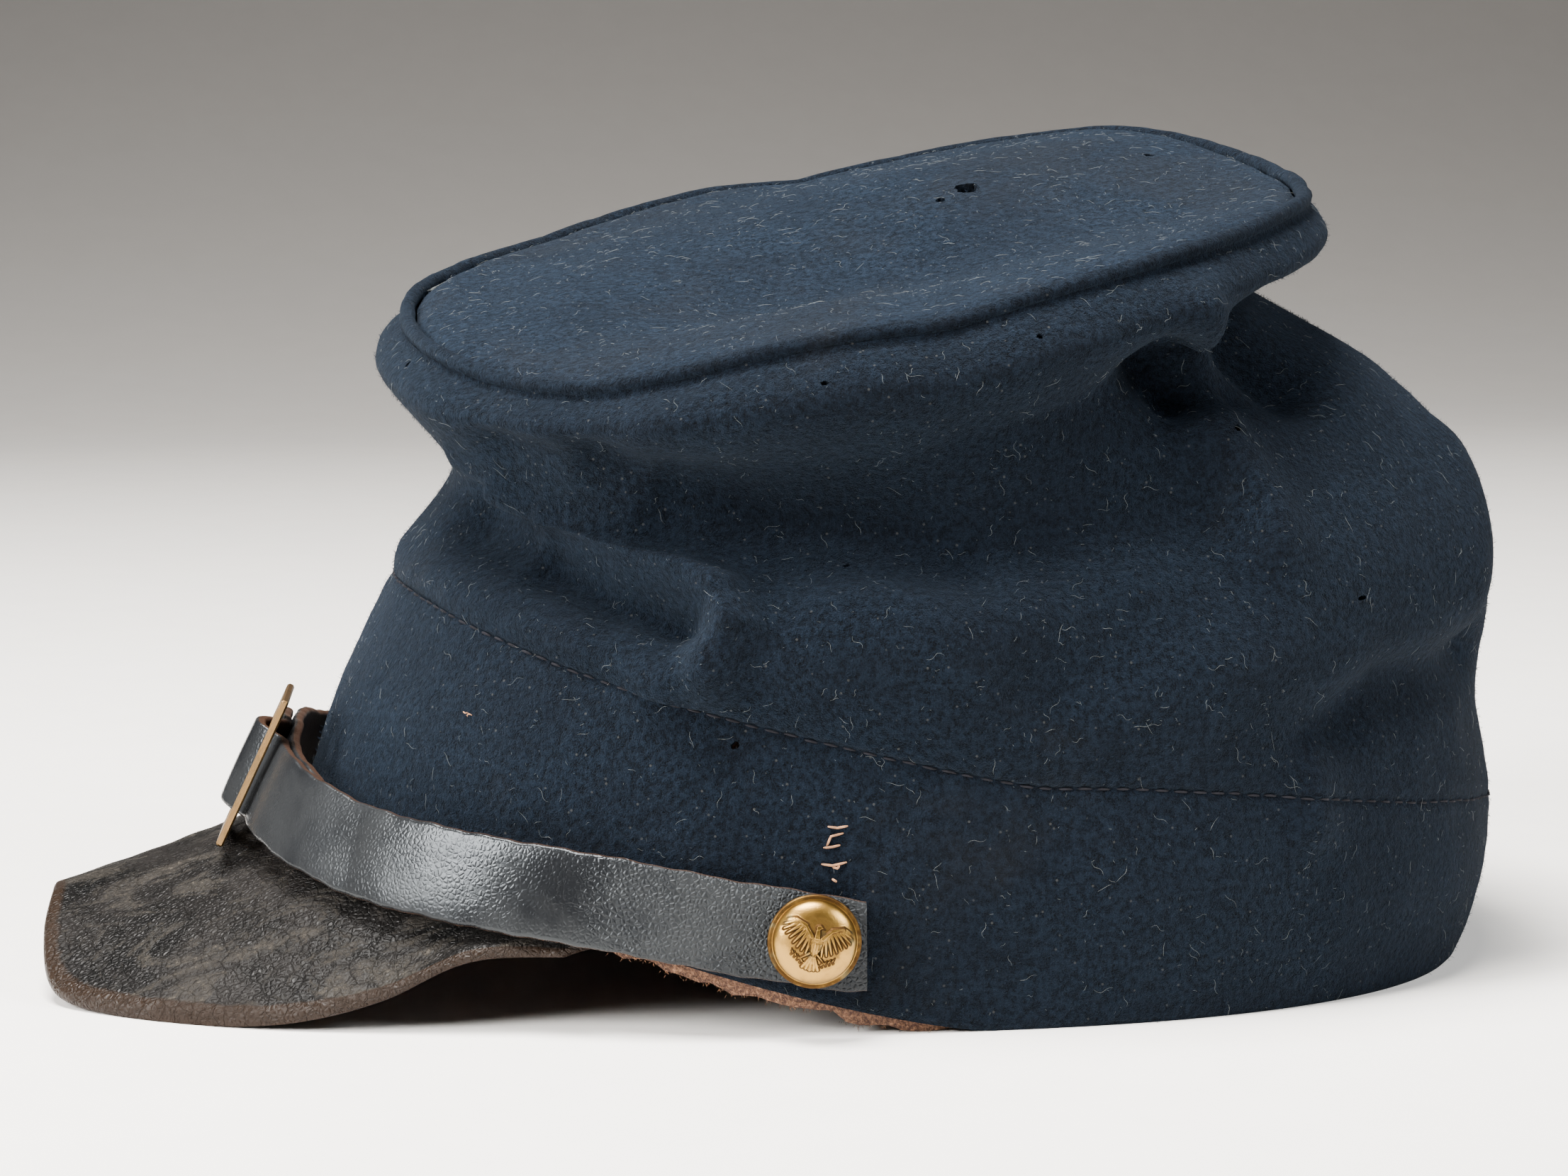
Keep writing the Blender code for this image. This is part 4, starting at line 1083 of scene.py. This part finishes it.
def rolled_slab(upper, thicknesses, edge_round):
    """Closed slab whose outer edge is rounded: rings from the inner edge over the outer edge."""
    rows, columns = upper.shape[:2]
    thickness = thicknesses[:, None] * [0.0, 0.0, 1.0]
    lower = upper - thickness[:, None]
    edge_way = unit(upper[:, -1] - upper[:, -2])
    turns = np.radians(np.linspace(90, -90, 9))[1:-1]
    cap = [(upper[:, -1] + lower[:, -1]) / 2 + edge_round * math.cos(angle) * edge_way
           + thickness / 2 * math.sin(angle) for angle in turns]
    section = np.concatenate([upper, np.stack(cap, axis=1), lower[:, ::-1]], axis=1)
    around = section.shape[1]
    faces = ring_faces(rows, around)
    faces.append(tuple(range(around)))
    faces.append(tuple(range((rows - 1) * around, rows * around))[::-1])
    share = np.linspace(0, 1, columns)
    edge = np.concatenate([np.clip((share - 0.93) / 0.07, 0, 1), np.ones(len(turns)),
                           np.clip((share[::-1] - 0.9) / 0.1, 0, 1)])
    flesh = np.concatenate([np.zeros(columns), np.linspace(-0.6, 1, len(turns)).clip(0, 1),
                            np.ones(columns)])
    return section, faces, np.tile(edge, rows), np.tile(flesh, rows)


peak_upper, peak_thickness = peak_lines()
sag = 0.30 * uneven(peak_upper, 26.0, seed=31) + 0.12 * uneven(peak_upper, 8.0, seed=32)
keep = np.clip(np.linspace(0, 1, PEAK_ACROSS) / 0.15, 0, 1) * np.clip(
    (1 - np.linspace(0, 1, PEAK_ACROSS)) / 0.1, 0, 1)
peak_upper[..., 2] += sag * keep
section, peak_faces, edge_mask, flesh_mask = rolled_slab(peak_upper, peak_thickness, 0.9)
section[..., 2] = np.maximum(section[..., 2], 0.0)
add_piece("peak_leather", section.reshape(-1, 3), peak_faces, PEAK_FINISH, "peak_leather",
          ("peak",), {"edge": edge_mask, "flesh": flesh_mask})

# %% [markdown]
# ## Chin strap
# Two leather halves run from the buttons to the front, where they lie on each other, and the
# left half is woven through the buckle. Each is a long ribbon with rounded edges: smooth and
# shiny in front, dull and pebbled near the button, brown on the flesh side.

# %% Course of the strap
STRAP_WIDTH = 15.5
STRAP_LEATHER = 2.0
STRAP_STANDS = 10.5
STRAP_LEAN = 25.0
STRAP_LAP = 26.0
BUCKLE_LENGTH = 21.0
BUCKLE_PLATE = 1.3
BUCKLE_BAR = 3.0
BUCKLE_TURN = 0.016
BUTTON_TURN = 0.217
STRAP_END_TURN = 0.229
STRAP_NEAR = 0.002
STRAP_COURSE = (
    (-0.245, 0.21, 0.345, 0.18),
    (-0.212, 0.21, 0.425, 0.18),
    (-0.165, 0.34, 0.565, 0.36),
    (-0.120, 0.48, 0.640, 0.59),
    (-0.080, 0.56, 0.740, 0.82),
    (-0.040, 0.56, 0.850, 1.00),
    (0.000, 0.64, 0.905, 1.00),
    (0.030, 0.98, 0.868, 1.00),
    (0.050, 0.98, 0.790, 0.92),
    (0.080, 0.73, 0.685, 0.80),
    (0.120, 0.50, 0.620, 0.59),
    (0.165, 0.34, 0.548, 0.36),
    (0.212, 0.21, 0.425, 0.18),
    (0.245, 0.21, 0.345, 0.18),
)


def level_across(along):
    """Level direction at right angles to a line, outwards where the line runs to the left."""
    return unit(np.array([along[1], -along[0], 0.0]))


def strap_centre(turn):
    """Middle of the strap at a turn, and its lean."""
    standoff, height, lean = smooth_table(STRAP_COURSE, turn)
    here, ahead, behind = ring_points(RINGS[0], turn + STRAP_NEAR * np.array([0, 1, -1]))
    centre = here + level_across(ahead - behind) * standoff * STRAP_STANDS
    centre[2] = height * BAND_HEIGHT
    return centre, math.radians(lean * STRAP_LEAN)


def strap_frame(turn):
    """Centre, outward and up directions of the strap's course at a turn (below zero: right)."""
    centre, lean = strap_centre(turn)
    level = level_across(strap_centre(turn + STRAP_NEAR)[0] - strap_centre(turn - STRAP_NEAR)[0])
    outward = level * math.cos(lean) + np.array([0, 0, math.sin(lean)])
    up = -level * math.sin(lean) + np.array([0, 0, math.cos(lean)])
    return centre, outward, up


def strap_speed():
    """Millimetres of strap in one turn, at the buckle."""
    ahead = strap_centre(BUCKLE_TURN + STRAP_NEAR)[0]
    behind = strap_centre(BUCKLE_TURN - STRAP_NEAR)[0]
    return np.linalg.norm(ahead - behind) / (2 * STRAP_NEAR)


def ribbon_section(width, thickness, corner=0.75, crown=0.12):
    """Outline of a strap's section with rounded corners, as outward and up distances."""
    outline = []
    for out_sign, up_sign, start in ((1, -1, -90), (1, 1, 0), (-1, 1, 90), (-1, -1, 180)):
        for angle in np.radians(start + np.linspace(0, 90, 5)):
            outline.append((out_sign * (thickness / 2 - corner) + corner * math.cos(angle),
                            up_sign * (width / 2 - corner) + corner * math.sin(angle)))
        if up_sign == out_sign:
            continue
        for share in (0.2, 0.4, 0.6, 0.8):
            up_way = width / 2 - corner
            place = up_way * (2 * share - 1) * (1 if out_sign > 0 else -1)
            outline.append((out_sign * (thickness / 2 + crown * (1 - (place / up_way) ** 2)), place))
    return np.array(outline)


def strap_piece(name, replaced, first_turn, last_turn, layer, end_round):
    """One half of the strap, with its worn edge, flesh side and dull end painted on."""
    buckle_centre = strap_frame(BUCKLE_TURN)[0]
    turns = np.linspace(first_turn, last_turn, 420)
    outline = ribbon_section(STRAP_WIDTH - 0.1, STRAP_LEATHER - 0.05)
    rings, edge, flesh, matte = [], [], [], []
    for turn in turns:
        centre, outward, up = strap_frame(turn)
        away = math.copysign(np.linalg.norm(centre - buckle_centre), turn - BUCKLE_TURN)
        wave = 0.10 * math.sin(turn * 310) + 0.07 * math.sin(turn * 713 + 1.0)
        centre = centre + outward * layer(away)
        from_end = min(abs(turn - first_turn), abs(last_turn - turn)) * strap_speed()
        narrow = 1.0 - 0.06 * math.exp(-(from_end / end_round) ** 2)
        ring = centre + outline[:, :1] * outward + (outline[:, 1:] * narrow + wave) * up
        rings.append(ring)
        along_edge = np.abs(outline[:, 1]) / (STRAP_WIDTH / 2)
        edge.append(np.clip((along_edge - 0.94) / 0.06, 0, 1))
        flesh.append(np.clip(0.5 - outline[:, 0] / STRAP_LEATHER * 1.6, 0, 1))
        dull = smooth_step((abs(turn) - 0.150) / 0.035)
        matte.append(np.full(len(outline), float(dull)))
    count = len(outline)
    faces = [tuple(range(count))] + ring_faces(len(turns), count)
    faces.append(tuple((len(turns) - 1) * count + step for step in range(count))[::-1])
    return add_piece(name, np.concatenate(rings), faces, STRAP_FINISH, "strap_leather", (replaced,),
                     {"edge": np.ravel(edge), "flesh": np.ravel(flesh), "matte": np.ravel(matte)})


# %% Both halves of the strap
over_bar = BUCKLE_PLATE + STRAP_LEATHER + 3 * SEAM_GAP
lap_turn = STRAP_LAP / strap_speed()


def left_layer(away):
    """The left half rises over the buckle's middle bar."""
    start, end = BUCKLE_BAR / 2, BUCKLE_LENGTH / 2 - BUCKLE_BAR
    return over_bar * (1 - float(smooth_step((abs(away) - start) / (end - start))))


def right_layer(away):
    """The right half lies inside the left one where they lap."""
    return -(STRAP_LEATHER + SEAM_GAP) * (1 - float(smooth_step((-away - STRAP_LAP) / STRAP_LAP)))


strap_piece("strap_left_leather", "strap_left", BUCKLE_TURN - lap_turn,
            STRAP_END_TURN, left_layer, 2.0)
strap_piece("strap_right_leather", "strap_right", -STRAP_END_TURN,
            BUCKLE_TURN + lap_turn, right_layer, 2.0)

# %% [markdown]
# ## Buckle
# The buckle is the solid model's own plate, which already has the right shape. It keeps its
# mesh and takes a finish of old brass.

# %% Buckle
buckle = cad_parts["buckle"]
buckle.data.materials.clear()
buckle.data.materials.append(BUCKLE_FINISH)
print("buckle has", len(buckle.data.polygons), "faces")

# %% [markdown]
# ## Buttons
# Each button is a dome struck with a raised figure: a generic spread bird behind a plain striped
# shield, of this lesson's own layout. The height of every point of a fine round grid is worked
# out from simple outlines, so the relief is real shape. A mask of the hollows guides the tarnish.

# %% Outline distances for the relief
BUTTON_DIAMETER = 15.3
BUTTON_DOME = 3.1
BUTTON_RIM = 1.6
RELIEF = 0.42


def to_segment(x, y, start, end):
    """Distance from a line, and how far along it the nearest place is."""
    dx, dy = end[0] - start[0], end[1] - start[1]
    share = np.clip(((x - start[0]) * dx + (y - start[1]) * dy) / (dx * dx + dy * dy), 0, 1)
    return np.hypot(x - start[0] - share * dx, y - start[1] - share * dy), share


def taper(x, y, start, end, first, last, softness=0.05):
    """Rounded bar from start to end whose half width changes from first to last."""
    away, share = to_segment(x, y, start, end)
    return smooth_step((first + (last - first) * share - away) / softness + 0.5)


def wing_relief(x, y):
    """One raised wing on the right: an arched arm with feathers hanging from it."""
    relief = np.zeros_like(x)
    arm = ((0.14, 0.16), (0.34, 0.40), (0.60, 0.50))
    feathers = 9
    for number in range(feathers):
        share = number / (feathers - 1)
        if share < 0.5:
            root = np.array(arm[0]) + (np.array(arm[1]) - arm[0]) * share * 2
        else:
            root = np.array(arm[1]) + (np.array(arm[2]) - arm[1]) * (share * 2 - 1)
        length = 0.26 + 0.24 * math.sin(math.pi * (0.25 + 0.6 * share))
        angle = math.radians(-82 + 62 * share)
        tip = root + length * np.array([math.cos(angle), math.sin(angle)])
        feather = taper(x, y, root, tip, 0.050, 0.030, 0.035)
        relief = np.maximum(relief, feather * (0.62 + 0.12 * (number % 2)))
    for first, second in zip(arm, arm[1:]):
        relief = np.maximum(relief, taper(x, y, first, second, 0.062, 0.045))
    return relief


def shield_relief(x, y):
    """Plain striped shield: a raised rim, a smooth band and upright stripes."""
    sides = 0.17 * np.sqrt(np.clip((y + 0.34) / 0.34, 0, 1))
    half = np.where(y > 0.0, 0.17, sides)
    inside = np.minimum(half - np.abs(x), np.minimum(0.16 - y, (y + 0.32)))
    body = smooth_step(inside / 0.03 + 0.5)
    border = smooth_step(1 - np.abs(inside - 0.018) / 0.02)
    stripes = (0.5 + 0.5 * np.cos(x / 0.17 * math.pi * 5)) * (y < 0.02)
    return body * (0.70 + 0.28 * stripes) + 0.35 * border


def bird_relief(x, y):
    """Height of the whole figure from 0 to about 1, on a unit disc."""
    relief = np.maximum(wing_relief(x, y), wing_relief(-x, y))
    tail = np.zeros_like(x)
    for number in range(-2, 3):
        tip = (0.10 * number, -0.66 + 0.02 * abs(number))
        tail = np.maximum(tail, taper(x, y, (0.02 * number, -0.30), tip, 0.03, 0.045, 0.03)
                          * (0.62 + 0.14 * (number % 2)))
    legs = np.maximum(taper(x, y, (0.10, -0.25), (0.30, -0.42), 0.035, 0.022),
                      taper(x, y, (-0.10, -0.25), (-0.30, -0.42), 0.035, 0.022))
    leaves = np.zeros_like(x)
    for number in range(4):
        spot = (0.24 + 0.085 * number, -0.47 + 0.050 * number)
        for sign in (-1, 1):
            tip = (spot[0] + 0.045, spot[1] + sign * 0.075)
            for side in (-1, 1):
                leaves = np.maximum(leaves, 0.6 * taper(
                    side * x, y, spot, tip, 0.018, 0.010, 0.03))
    stems = np.maximum(taper(x, y, (0.20, -0.50), (0.54, -0.30), 0.014, 0.010, 0.03),
                       taper(-x, y, (0.20, -0.50), (0.54, -0.30), 0.014, 0.010, 0.03)) * 0.6
    neck = taper(x, y, (0.0, 0.12), (-0.02, 0.36), 0.085, 0.055)
    head = taper(x, y, (-0.02, 0.40), (0.02, 0.42), 0.066, 0.060)
    beak = taper(x, y, (0.05, 0.42), (0.14, 0.39), 0.030, 0.008, 0.03)
    for part in (0.85 * tail, 0.8 * legs, leaves, stems, 0.95 * neck, head, 0.9 * beak):
        relief = np.maximum(relief, part)
    return np.maximum(relief, shield_relief(x, y))


# %% Button mesh
BUTTON_RINGS = 96
BUTTON_SIDES = 192


def button_grid():
    """Points of the button in its own frame (local Z outwards) and the mask of its hollows."""
    dome_radius = BUTTON_DIAMETER / 2 - BUTTON_RIM / 2
    radii = np.linspace(0.012, 1.0, BUTTON_RINGS)
    angles = np.arange(BUTTON_SIDES) / BUTTON_SIDES * 2 * math.pi
    x = radii[:, None] * np.cos(angles)
    y = radii[:, None] * np.sin(angles)
    relief = bird_relief(x * 1.04, y * 1.04) * smooth_step((0.93 - radii) / 0.08)[:, None]
    dome = BUTTON_RIM + BUTTON_DOME * np.sqrt(np.clip(1 - radii ** 2, 0, 1))[:, None]
    height = dome + RELIEF * relief
    face = np.stack([x * dome_radius, y * dome_radius, height], axis=-1)
    rim_profile = ((0.15, -0.05), (0.45, 0.02), (0.75, -0.15), (0.80, -0.6), (0.6, -1.1), (0.0, -1.55))
    rings = [face]
    for out, up in rim_profile:
        radius = dome_radius + out
        rings.append(np.stack([radius * np.cos(angles), radius * np.sin(angles),
                               np.full(BUTTON_SIDES, BUTTON_RIM + up)], axis=-1)[None])
    slope = np.abs(np.gradient(relief, axis=0)) + np.abs(np.gradient(relief, axis=1))
    hollow = np.clip(slope * 3.0, 0, 1) * 0.7 + 0.3 * (1 - relief) * smooth_step(
        (0.75 - radii) / 0.2)[:, None]
    hollow = np.concatenate([hollow, np.full((len(rim_profile), BUTTON_SIDES), 0.45)])
    return np.concatenate(rings), hollow


def button_piece(name, replaced, turn):
    grid, hollow = button_grid()
    rings, count = grid.shape[:2]
    centre, outward, up = strap_frame(turn)
    base = centre + outward * (STRAP_LEATHER / 2 + SEAM_GAP)
    across = np.cross(up, outward)
    spun = math.radians(-14 if turn > 0 else 6)
    side_way = math.cos(spun) * across + math.sin(spun) * up
    up_way = -math.sin(spun) * across + math.cos(spun) * up
    points = base + grid[..., :1] * side_way + grid[..., 1:2] * up_way + grid[..., 2:] * outward
    vertices = np.concatenate([points.reshape(-1, 3), (base + outward * grid[0, :, 2].mean())[None],
                               base[None]])
    faces = []
    step = np.arange(count)
    following = (step + 1) % count
    for ring in range(rings - 1):
        here = ring * count
        faces.extend(np.stack([here + step, here + count + step, here + count + following,
                               here + following], axis=1).tolist())
    hub = rings * count
    faces.extend(np.stack([np.full(count, hub), step, following], axis=1).tolist())
    back = (rings - 1) * count
    faces.extend(np.stack([back + following, back + step, np.full(count, hub + 1)], axis=1).tolist())
    mask = np.concatenate([hollow.ravel(), [0.2, 0.5]])
    return add_piece(name, vertices, faces, BUTTON_FINISH, "brass", (replaced,), {"hollow": mask})


button_piece("button_left_brass", "button_left", BUTTON_TURN)
button_piece("button_right_brass", "button_right", -BUTTON_TURN)

# %% [markdown]
# ## Stitches
# A row of short dark stitches holds the crown to the band, and a few coarse tan ones mend the
# band's upright join above the left button. Every stitch is a small bent bar of thread.

# %% Thread along a path
def bars(paths, radius, sides=5):
    """Many short tubes as one set of points and faces. Each path is (points, outward)."""
    tubes = []
    for path, outward in paths:
        swell = np.sqrt(np.clip(1 - (np.abs(np.linspace(-1, 1, len(path))) ** 4) * 0.8, 0, 1))
        tubes.append(tube(path, outward, radius, sides, False, swell))
    return joined(tubes)


def seam_stitches(level, pitch, length, lift):
    """Stitches all round the cap at one level of its wall."""
    wall, outward = cap_wall(np.array([level - 0.05, level, level + 0.05]))
    line, facing = wall[1], outward[1]
    gaps = np.linalg.norm(np.roll(line, -1, axis=0) - line, axis=1)
    travelled = np.concatenate([[0], np.cumsum(gaps)])
    closed_line = np.concatenate([line, line[:1]])
    closed_facing = np.concatenate([facing, facing[:1]])
    paths = []
    for start in np.arange(0, travelled[-1] - length, pitch):
        places = np.linspace(start, start + length * chance.uniform(0.85, 1.05), 5)
        points = read_along(places, travelled, closed_line)
        facings = read_along(places, travelled, closed_facing)
        bow = np.array([-0.30, 0.10, 0.18, 0.10, -0.30])[:, None]
        paths.append((points + (bow + lift) * facings + [0, 0, chance.uniform(-0.12, 0.12)], facings))
    return paths


seam_paths = seam_stitches(SEAM_RING - 0.01, 3.3, 2.4, 0.12)
add_piece("seam_stitches", *bars(seam_paths, 0.20), SEAM_THREAD, "wool")

# %% Tan mending stitches, by picture points along each
MEND_LIFT = 0.30
MENDS = (
    ((1167, 1166), (1181, 1168), (1197, 1165)),
    ((1166, 1194), (1172, 1180), (1191, 1175)),
    ((1161, 1196), (1173, 1195), (1186, 1192)),
    ((1158, 1219), (1174, 1221), (1196, 1216)),
    ((1174, 1223), (1181, 1225), (1184, 1221)),
    ((1174, 1240), (1180, 1244)),
)
surfaces = {name: BVHTree.FromObject(piece, bpy.context.evaluated_depsgraph_get())
            for name, piece in cloth_pieces.items()}


def thread_on(pixels, name, lift, points=7):
    """Thread laid on a piece along picture points, or None where it misses."""
    found = [on_surface(pixel, name) for pixel in pixels]
    if any(spot is None for spot in found):
        return None
    spots = np.array([spot[0] for spot in found])
    normal = np.mean([spot[1] for spot in found], axis=0)
    places = np.linspace(0, len(spots) - 1, points)
    path = read_along(places, np.arange(len(spots)), spots)
    bow = lift * (1 - 1.6 * np.abs(np.linspace(-1, 1, points)) ** 6)
    return path + bow[:, None] * normal, np.tile(normal, (points, 1))


mend_paths = [path for path in (thread_on(pixels, "band_cloth", MEND_LIFT) for pixels in MENDS) if path]
if mend_paths:
    add_piece("mending_stitches", *bars(mend_paths, 0.22, 6), MEND_THREAD, "wool")

# %% Loose thread ends, by picture points along each
LOOSE_LIFT = 0.35
LOOSE_ENDS = (
    ("pink_end", PINK_FIBRE, "crown_cloth", 0.13, (
        ((1697, 349), (1703, 353), (1709, 352)),
    )),
    ("worn_specks", MEND_THREAD, "band_cloth", 0.11, (
        ((654, 1004), (658, 1007), (661, 1006)),
        ((659, 1011), (663, 1008), (666, 1009)),
    )),
)
for label, finish, owner, radius, ends in LOOSE_ENDS:
    paths = [path for path in (thread_on(pixels, owner, LOOSE_LIFT) for pixels in ends) if path]
    if paths:
        add_piece(label, *bars(paths, radius, 5), finish, "wool")

# %% [markdown]
# ## Nap and lint
# Close up, wool is fuzzy: short fibres stand from it, and pale lint has caught in them. Both are
# scattered over the outer faces from one seeded source of chance, as thin spindles joined into
# one mesh for each piece, so that the outline is soft too.

# %% Fibres scattered over a grid of points
def grid_sites(points, outward, count):
    """Random places on a grid of points, spread by area, with their outward directions."""
    corners = points[:-1, :], points[1:, :], np.roll(points, -1, axis=1)[:-1]
    area = np.linalg.norm(np.cross(corners[1] - corners[0], corners[2] - corners[0]), axis=-1)
    pick = chance.choice(area.size, count, p=area.ravel() / area.sum())
    row, column = np.unravel_index(pick, area.shape)
    following = (column + 1) % points.shape[1]
    up_share, side_share = chance.random((2, count, 1))
    low = points[row, column] * (1 - side_share) + points[row, following] * side_share
    high = points[row + 1, column] * (1 - side_share) + points[row + 1, following] * side_share
    return low * (1 - up_share) + high * up_share, outward[row, column]


def spindles(roots, facings, length, lean, radius):
    """Short straight fibres: closed spindles of six triangles each."""
    count = len(roots)
    drift = chance.normal(size=(count, 3))
    drift = unit(drift - (drift * facings).sum(1, keepdims=True) * facings)
    way = unit(facings + drift * chance.uniform(lean * 0.4, lean, (count, 1)))
    reach = length * chance.uniform(0.5, 1.3, (count, 1))
    across = unit(np.cross(way, drift + 0.3 * facings))
    other = np.cross(way, across)
    root = roots - 0.15 * facings
    tip = root + reach * way
    waist = root + 0.45 * reach * way
    corners = [waist + radius * (math.cos(angle) * across + math.sin(angle) * other)
               for angle in np.radians((0, 120, 240))]
    vertices = np.stack([root, *corners, tip], axis=1).reshape(-1, 3)
    start = (np.arange(count) * 5)[:, None, None]
    pattern = np.array([[0, 2, 1], [0, 3, 2], [0, 1, 3], [4, 1, 2], [4, 2, 3], [4, 3, 1]])
    return vertices, (start + pattern).reshape(-1, 3).tolist()


def top_outward(rings):
    around = np.roll(rings, -1, axis=1) - np.roll(rings, 1, axis=1)
    upward = np.cross(np.gradient(rings, axis=0), around)
    upward *= np.sign(upward[..., 2:])
    return unit(upward)


top_facing = top_outward(top_rings)
top_skin = top_rings + [0, 0, CLOTH / 2]
skins = {
    "band": (wall_points[:band_rows], wall_outward[:band_rows], 9000),
    "crown": (wall_points[band_rows:], wall_outward[band_rows:], 26000),
    "top": (top_skin, top_facing, 8000),
}
for label, (points, outward, count) in skins.items():
    roots, facings = grid_sites(points, outward, count)
    add_piece(label + "_nap", *spindles(roots, facings, 0.95, 1.6, 0.035), NAP_FIBRE, "wool",
              sharp=180)

# %% Lint
def lint_paths(roots, facings, shortest, longest):
    """Curly pale fibres lying on the cloth."""
    paths = []
    for root, facing in zip(roots, facings):
        drift = chance.normal(size=3)
        drift = unit(drift - drift @ facing * facing)
        side = np.cross(facing, drift)
        length = shortest + (longest - shortest) * chance.random() ** 3
        bend, curl = chance.uniform(-1.5, 1.5), chance.uniform(-1.2, 1.2)
        along = np.linspace(-0.5, 0.5, 7)
        path = root + length * along[:, None] * drift
        sway = length * 0.30 * (bend * along ** 2 + curl * np.sin(7 * along) * 0.35)
        path = path + sway[:, None] * side
        path = path + (0.10 + 0.25 * chance.random() * (1 - 4 * along ** 2))[:, None] * facing
        paths.append((path, np.tile(facing, (7, 1))))
    return paths


LINT = {"band": 1000, "crown": 2900, "top": 1300}
lint = []
for label, count in LINT.items():
    points, outward, _ = skins[label]
    lint.extend(lint_paths(*grid_sites(points, outward, count), 0.3, 3.4))
add_piece("lint", *bars(lint, 0.017, 3), LINT_FIBRE, "wool", sharp=180)

# %% Torn fibres along the head strip
FUR_COUNT = 1500
strip_edge = (sweat_outer[0] + sweat_inner[0]) / 2
shown = np.where(front_lift(strip_edge[:, 1]) > 0.4)[0]
picked = chance.choice(shown, FUR_COUNT)
strip_roots = strip_edge[picked] + chance.normal(size=(FUR_COUNT, 3)) * [0.5, 0.5, 0.25]
down = unit(np.array([0.0, 0.0, -1.0]) + 0.7 * sweat_outward[0][picked])
fur, fur_faces = spindles(strip_roots, down, 0.8, 1.2, 0.05)
fur[:, 2] = np.maximum(fur[:, 2], 0.02)
add_piece("strip_fur", fur, fur_faces, RAW_FIBRE, "sweat_leather", sharp=180)

# %% [markdown]
# ## Floor and light
# The cap stands on a pale sheet that sweeps up far behind it. Its colour is painted from pale to
# dark grey towards the back, as painted shade for the light's fall-off. A large soft light hangs
# above, another stands to the left of the camera, and a weaker one behind to the right draws the back
# edge.

# %% Floor
def floor_sheet():
    """Pale sweep: a floor that curves up behind, its colour painted darker towards the back as painted
    shade.
    """
    near, far, height, bend, half_wide = 2.4, -1.9, 2.6, 0.9, 3.2
    line = [(near, 0.0), (far + bend, 0.0)]
    for angle in np.radians(np.linspace(0, 90, 24)[1:]):
        line.append((far + bend - bend * math.sin(angle), bend - bend * math.cos(angle)))
    line.append((far, height))
    vertices = [(x, side * half_wide, z) for side in (-1, 1) for x, z in line]
    count = len(line)
    faces = [(step, step + 1, count + step + 1, count + step) for step in range(count - 1)]
    mesh = bpy.data.meshes.new("floor")
    mesh.from_pydata(vertices, [], faces)
    mesh.shade_smooth()
    sheet = bpy.data.objects.new("floor", mesh)
    bpy.context.scene.collection.objects.link(sheet)
    material, tree, shader, place = new_material("paper_and_painted_falloff")
    speckle = ramp(tree, noise(tree, place, 60.0, 4.0), 0.3, 0.7)
    paper = mix_colour(tree, speckle, (0.955, 0.925, 0.885, 1), (0.975, 0.945, 0.905, 1))
    # painted shade: the colour goes from pale paper to dark grey along X towards the back, in place of
    # the light's fall-off
    depth = add_node(tree, "ShaderNodeSeparateXYZ", Vector=place).outputs["X"]
    painted_falloff = ramp(tree, depth, -1.60, -0.35, 0.70, 0.0)
    plug(tree, shader.inputs["Base Color"],
         mix_colour(tree, painted_falloff, paper, (0.055, 0.048, 0.044, 1)))
    shader.inputs["Roughness"].default_value = 0.7
    mesh.materials.append(material)
    return sheet


floor_sheet()


# %% Lights
def soft_light(name, azimuth, elevation, distance, size, power, spread, colour):
    """Rectangular soft light that faces the cap. size is its width and height in metres."""
    data = bpy.data.lights.new(name, "AREA")
    data.shape = "RECTANGLE"
    data.size, data.size_y = size
    data.energy = power
    data.spread = math.radians(spread)
    data.color = colour
    light = bpy.data.objects.new(name, data)
    bpy.context.scene.collection.objects.link(light)
    back = look_back(azimuth, elevation)
    light.location = back * distance + Vector((0, 0, 0.06))
    light.rotation_mode = "QUATERNION"
    light.rotation_quaternion = (-back).to_track_quat("-Z", "Y")
    return light


soft_light("light_above", 16, 78, 1.15, (0.62, 0.55), 35.0, 130, (1.0, 0.97, 0.93))
soft_light("light_left", 25, 26, 1.20, (0.34, 0.6), 10.5, 90, (1.0, 0.98, 0.96))
soft_light("light_back", 150, 34, 1.3, (0.5, 0.5), 4.5, 90, (0.96, 0.98, 1.0))
world = bpy.data.worlds.new("studio")
world.use_nodes = True
world.node_tree.nodes["Background"].inputs["Color"].default_value = (0.80, 0.80, 0.82, 1)
world.node_tree.nodes["Background"].inputs["Strength"].default_value = 0.065
bpy.context.scene.world = world

# %% The end
bpy.context.view_layer.update()
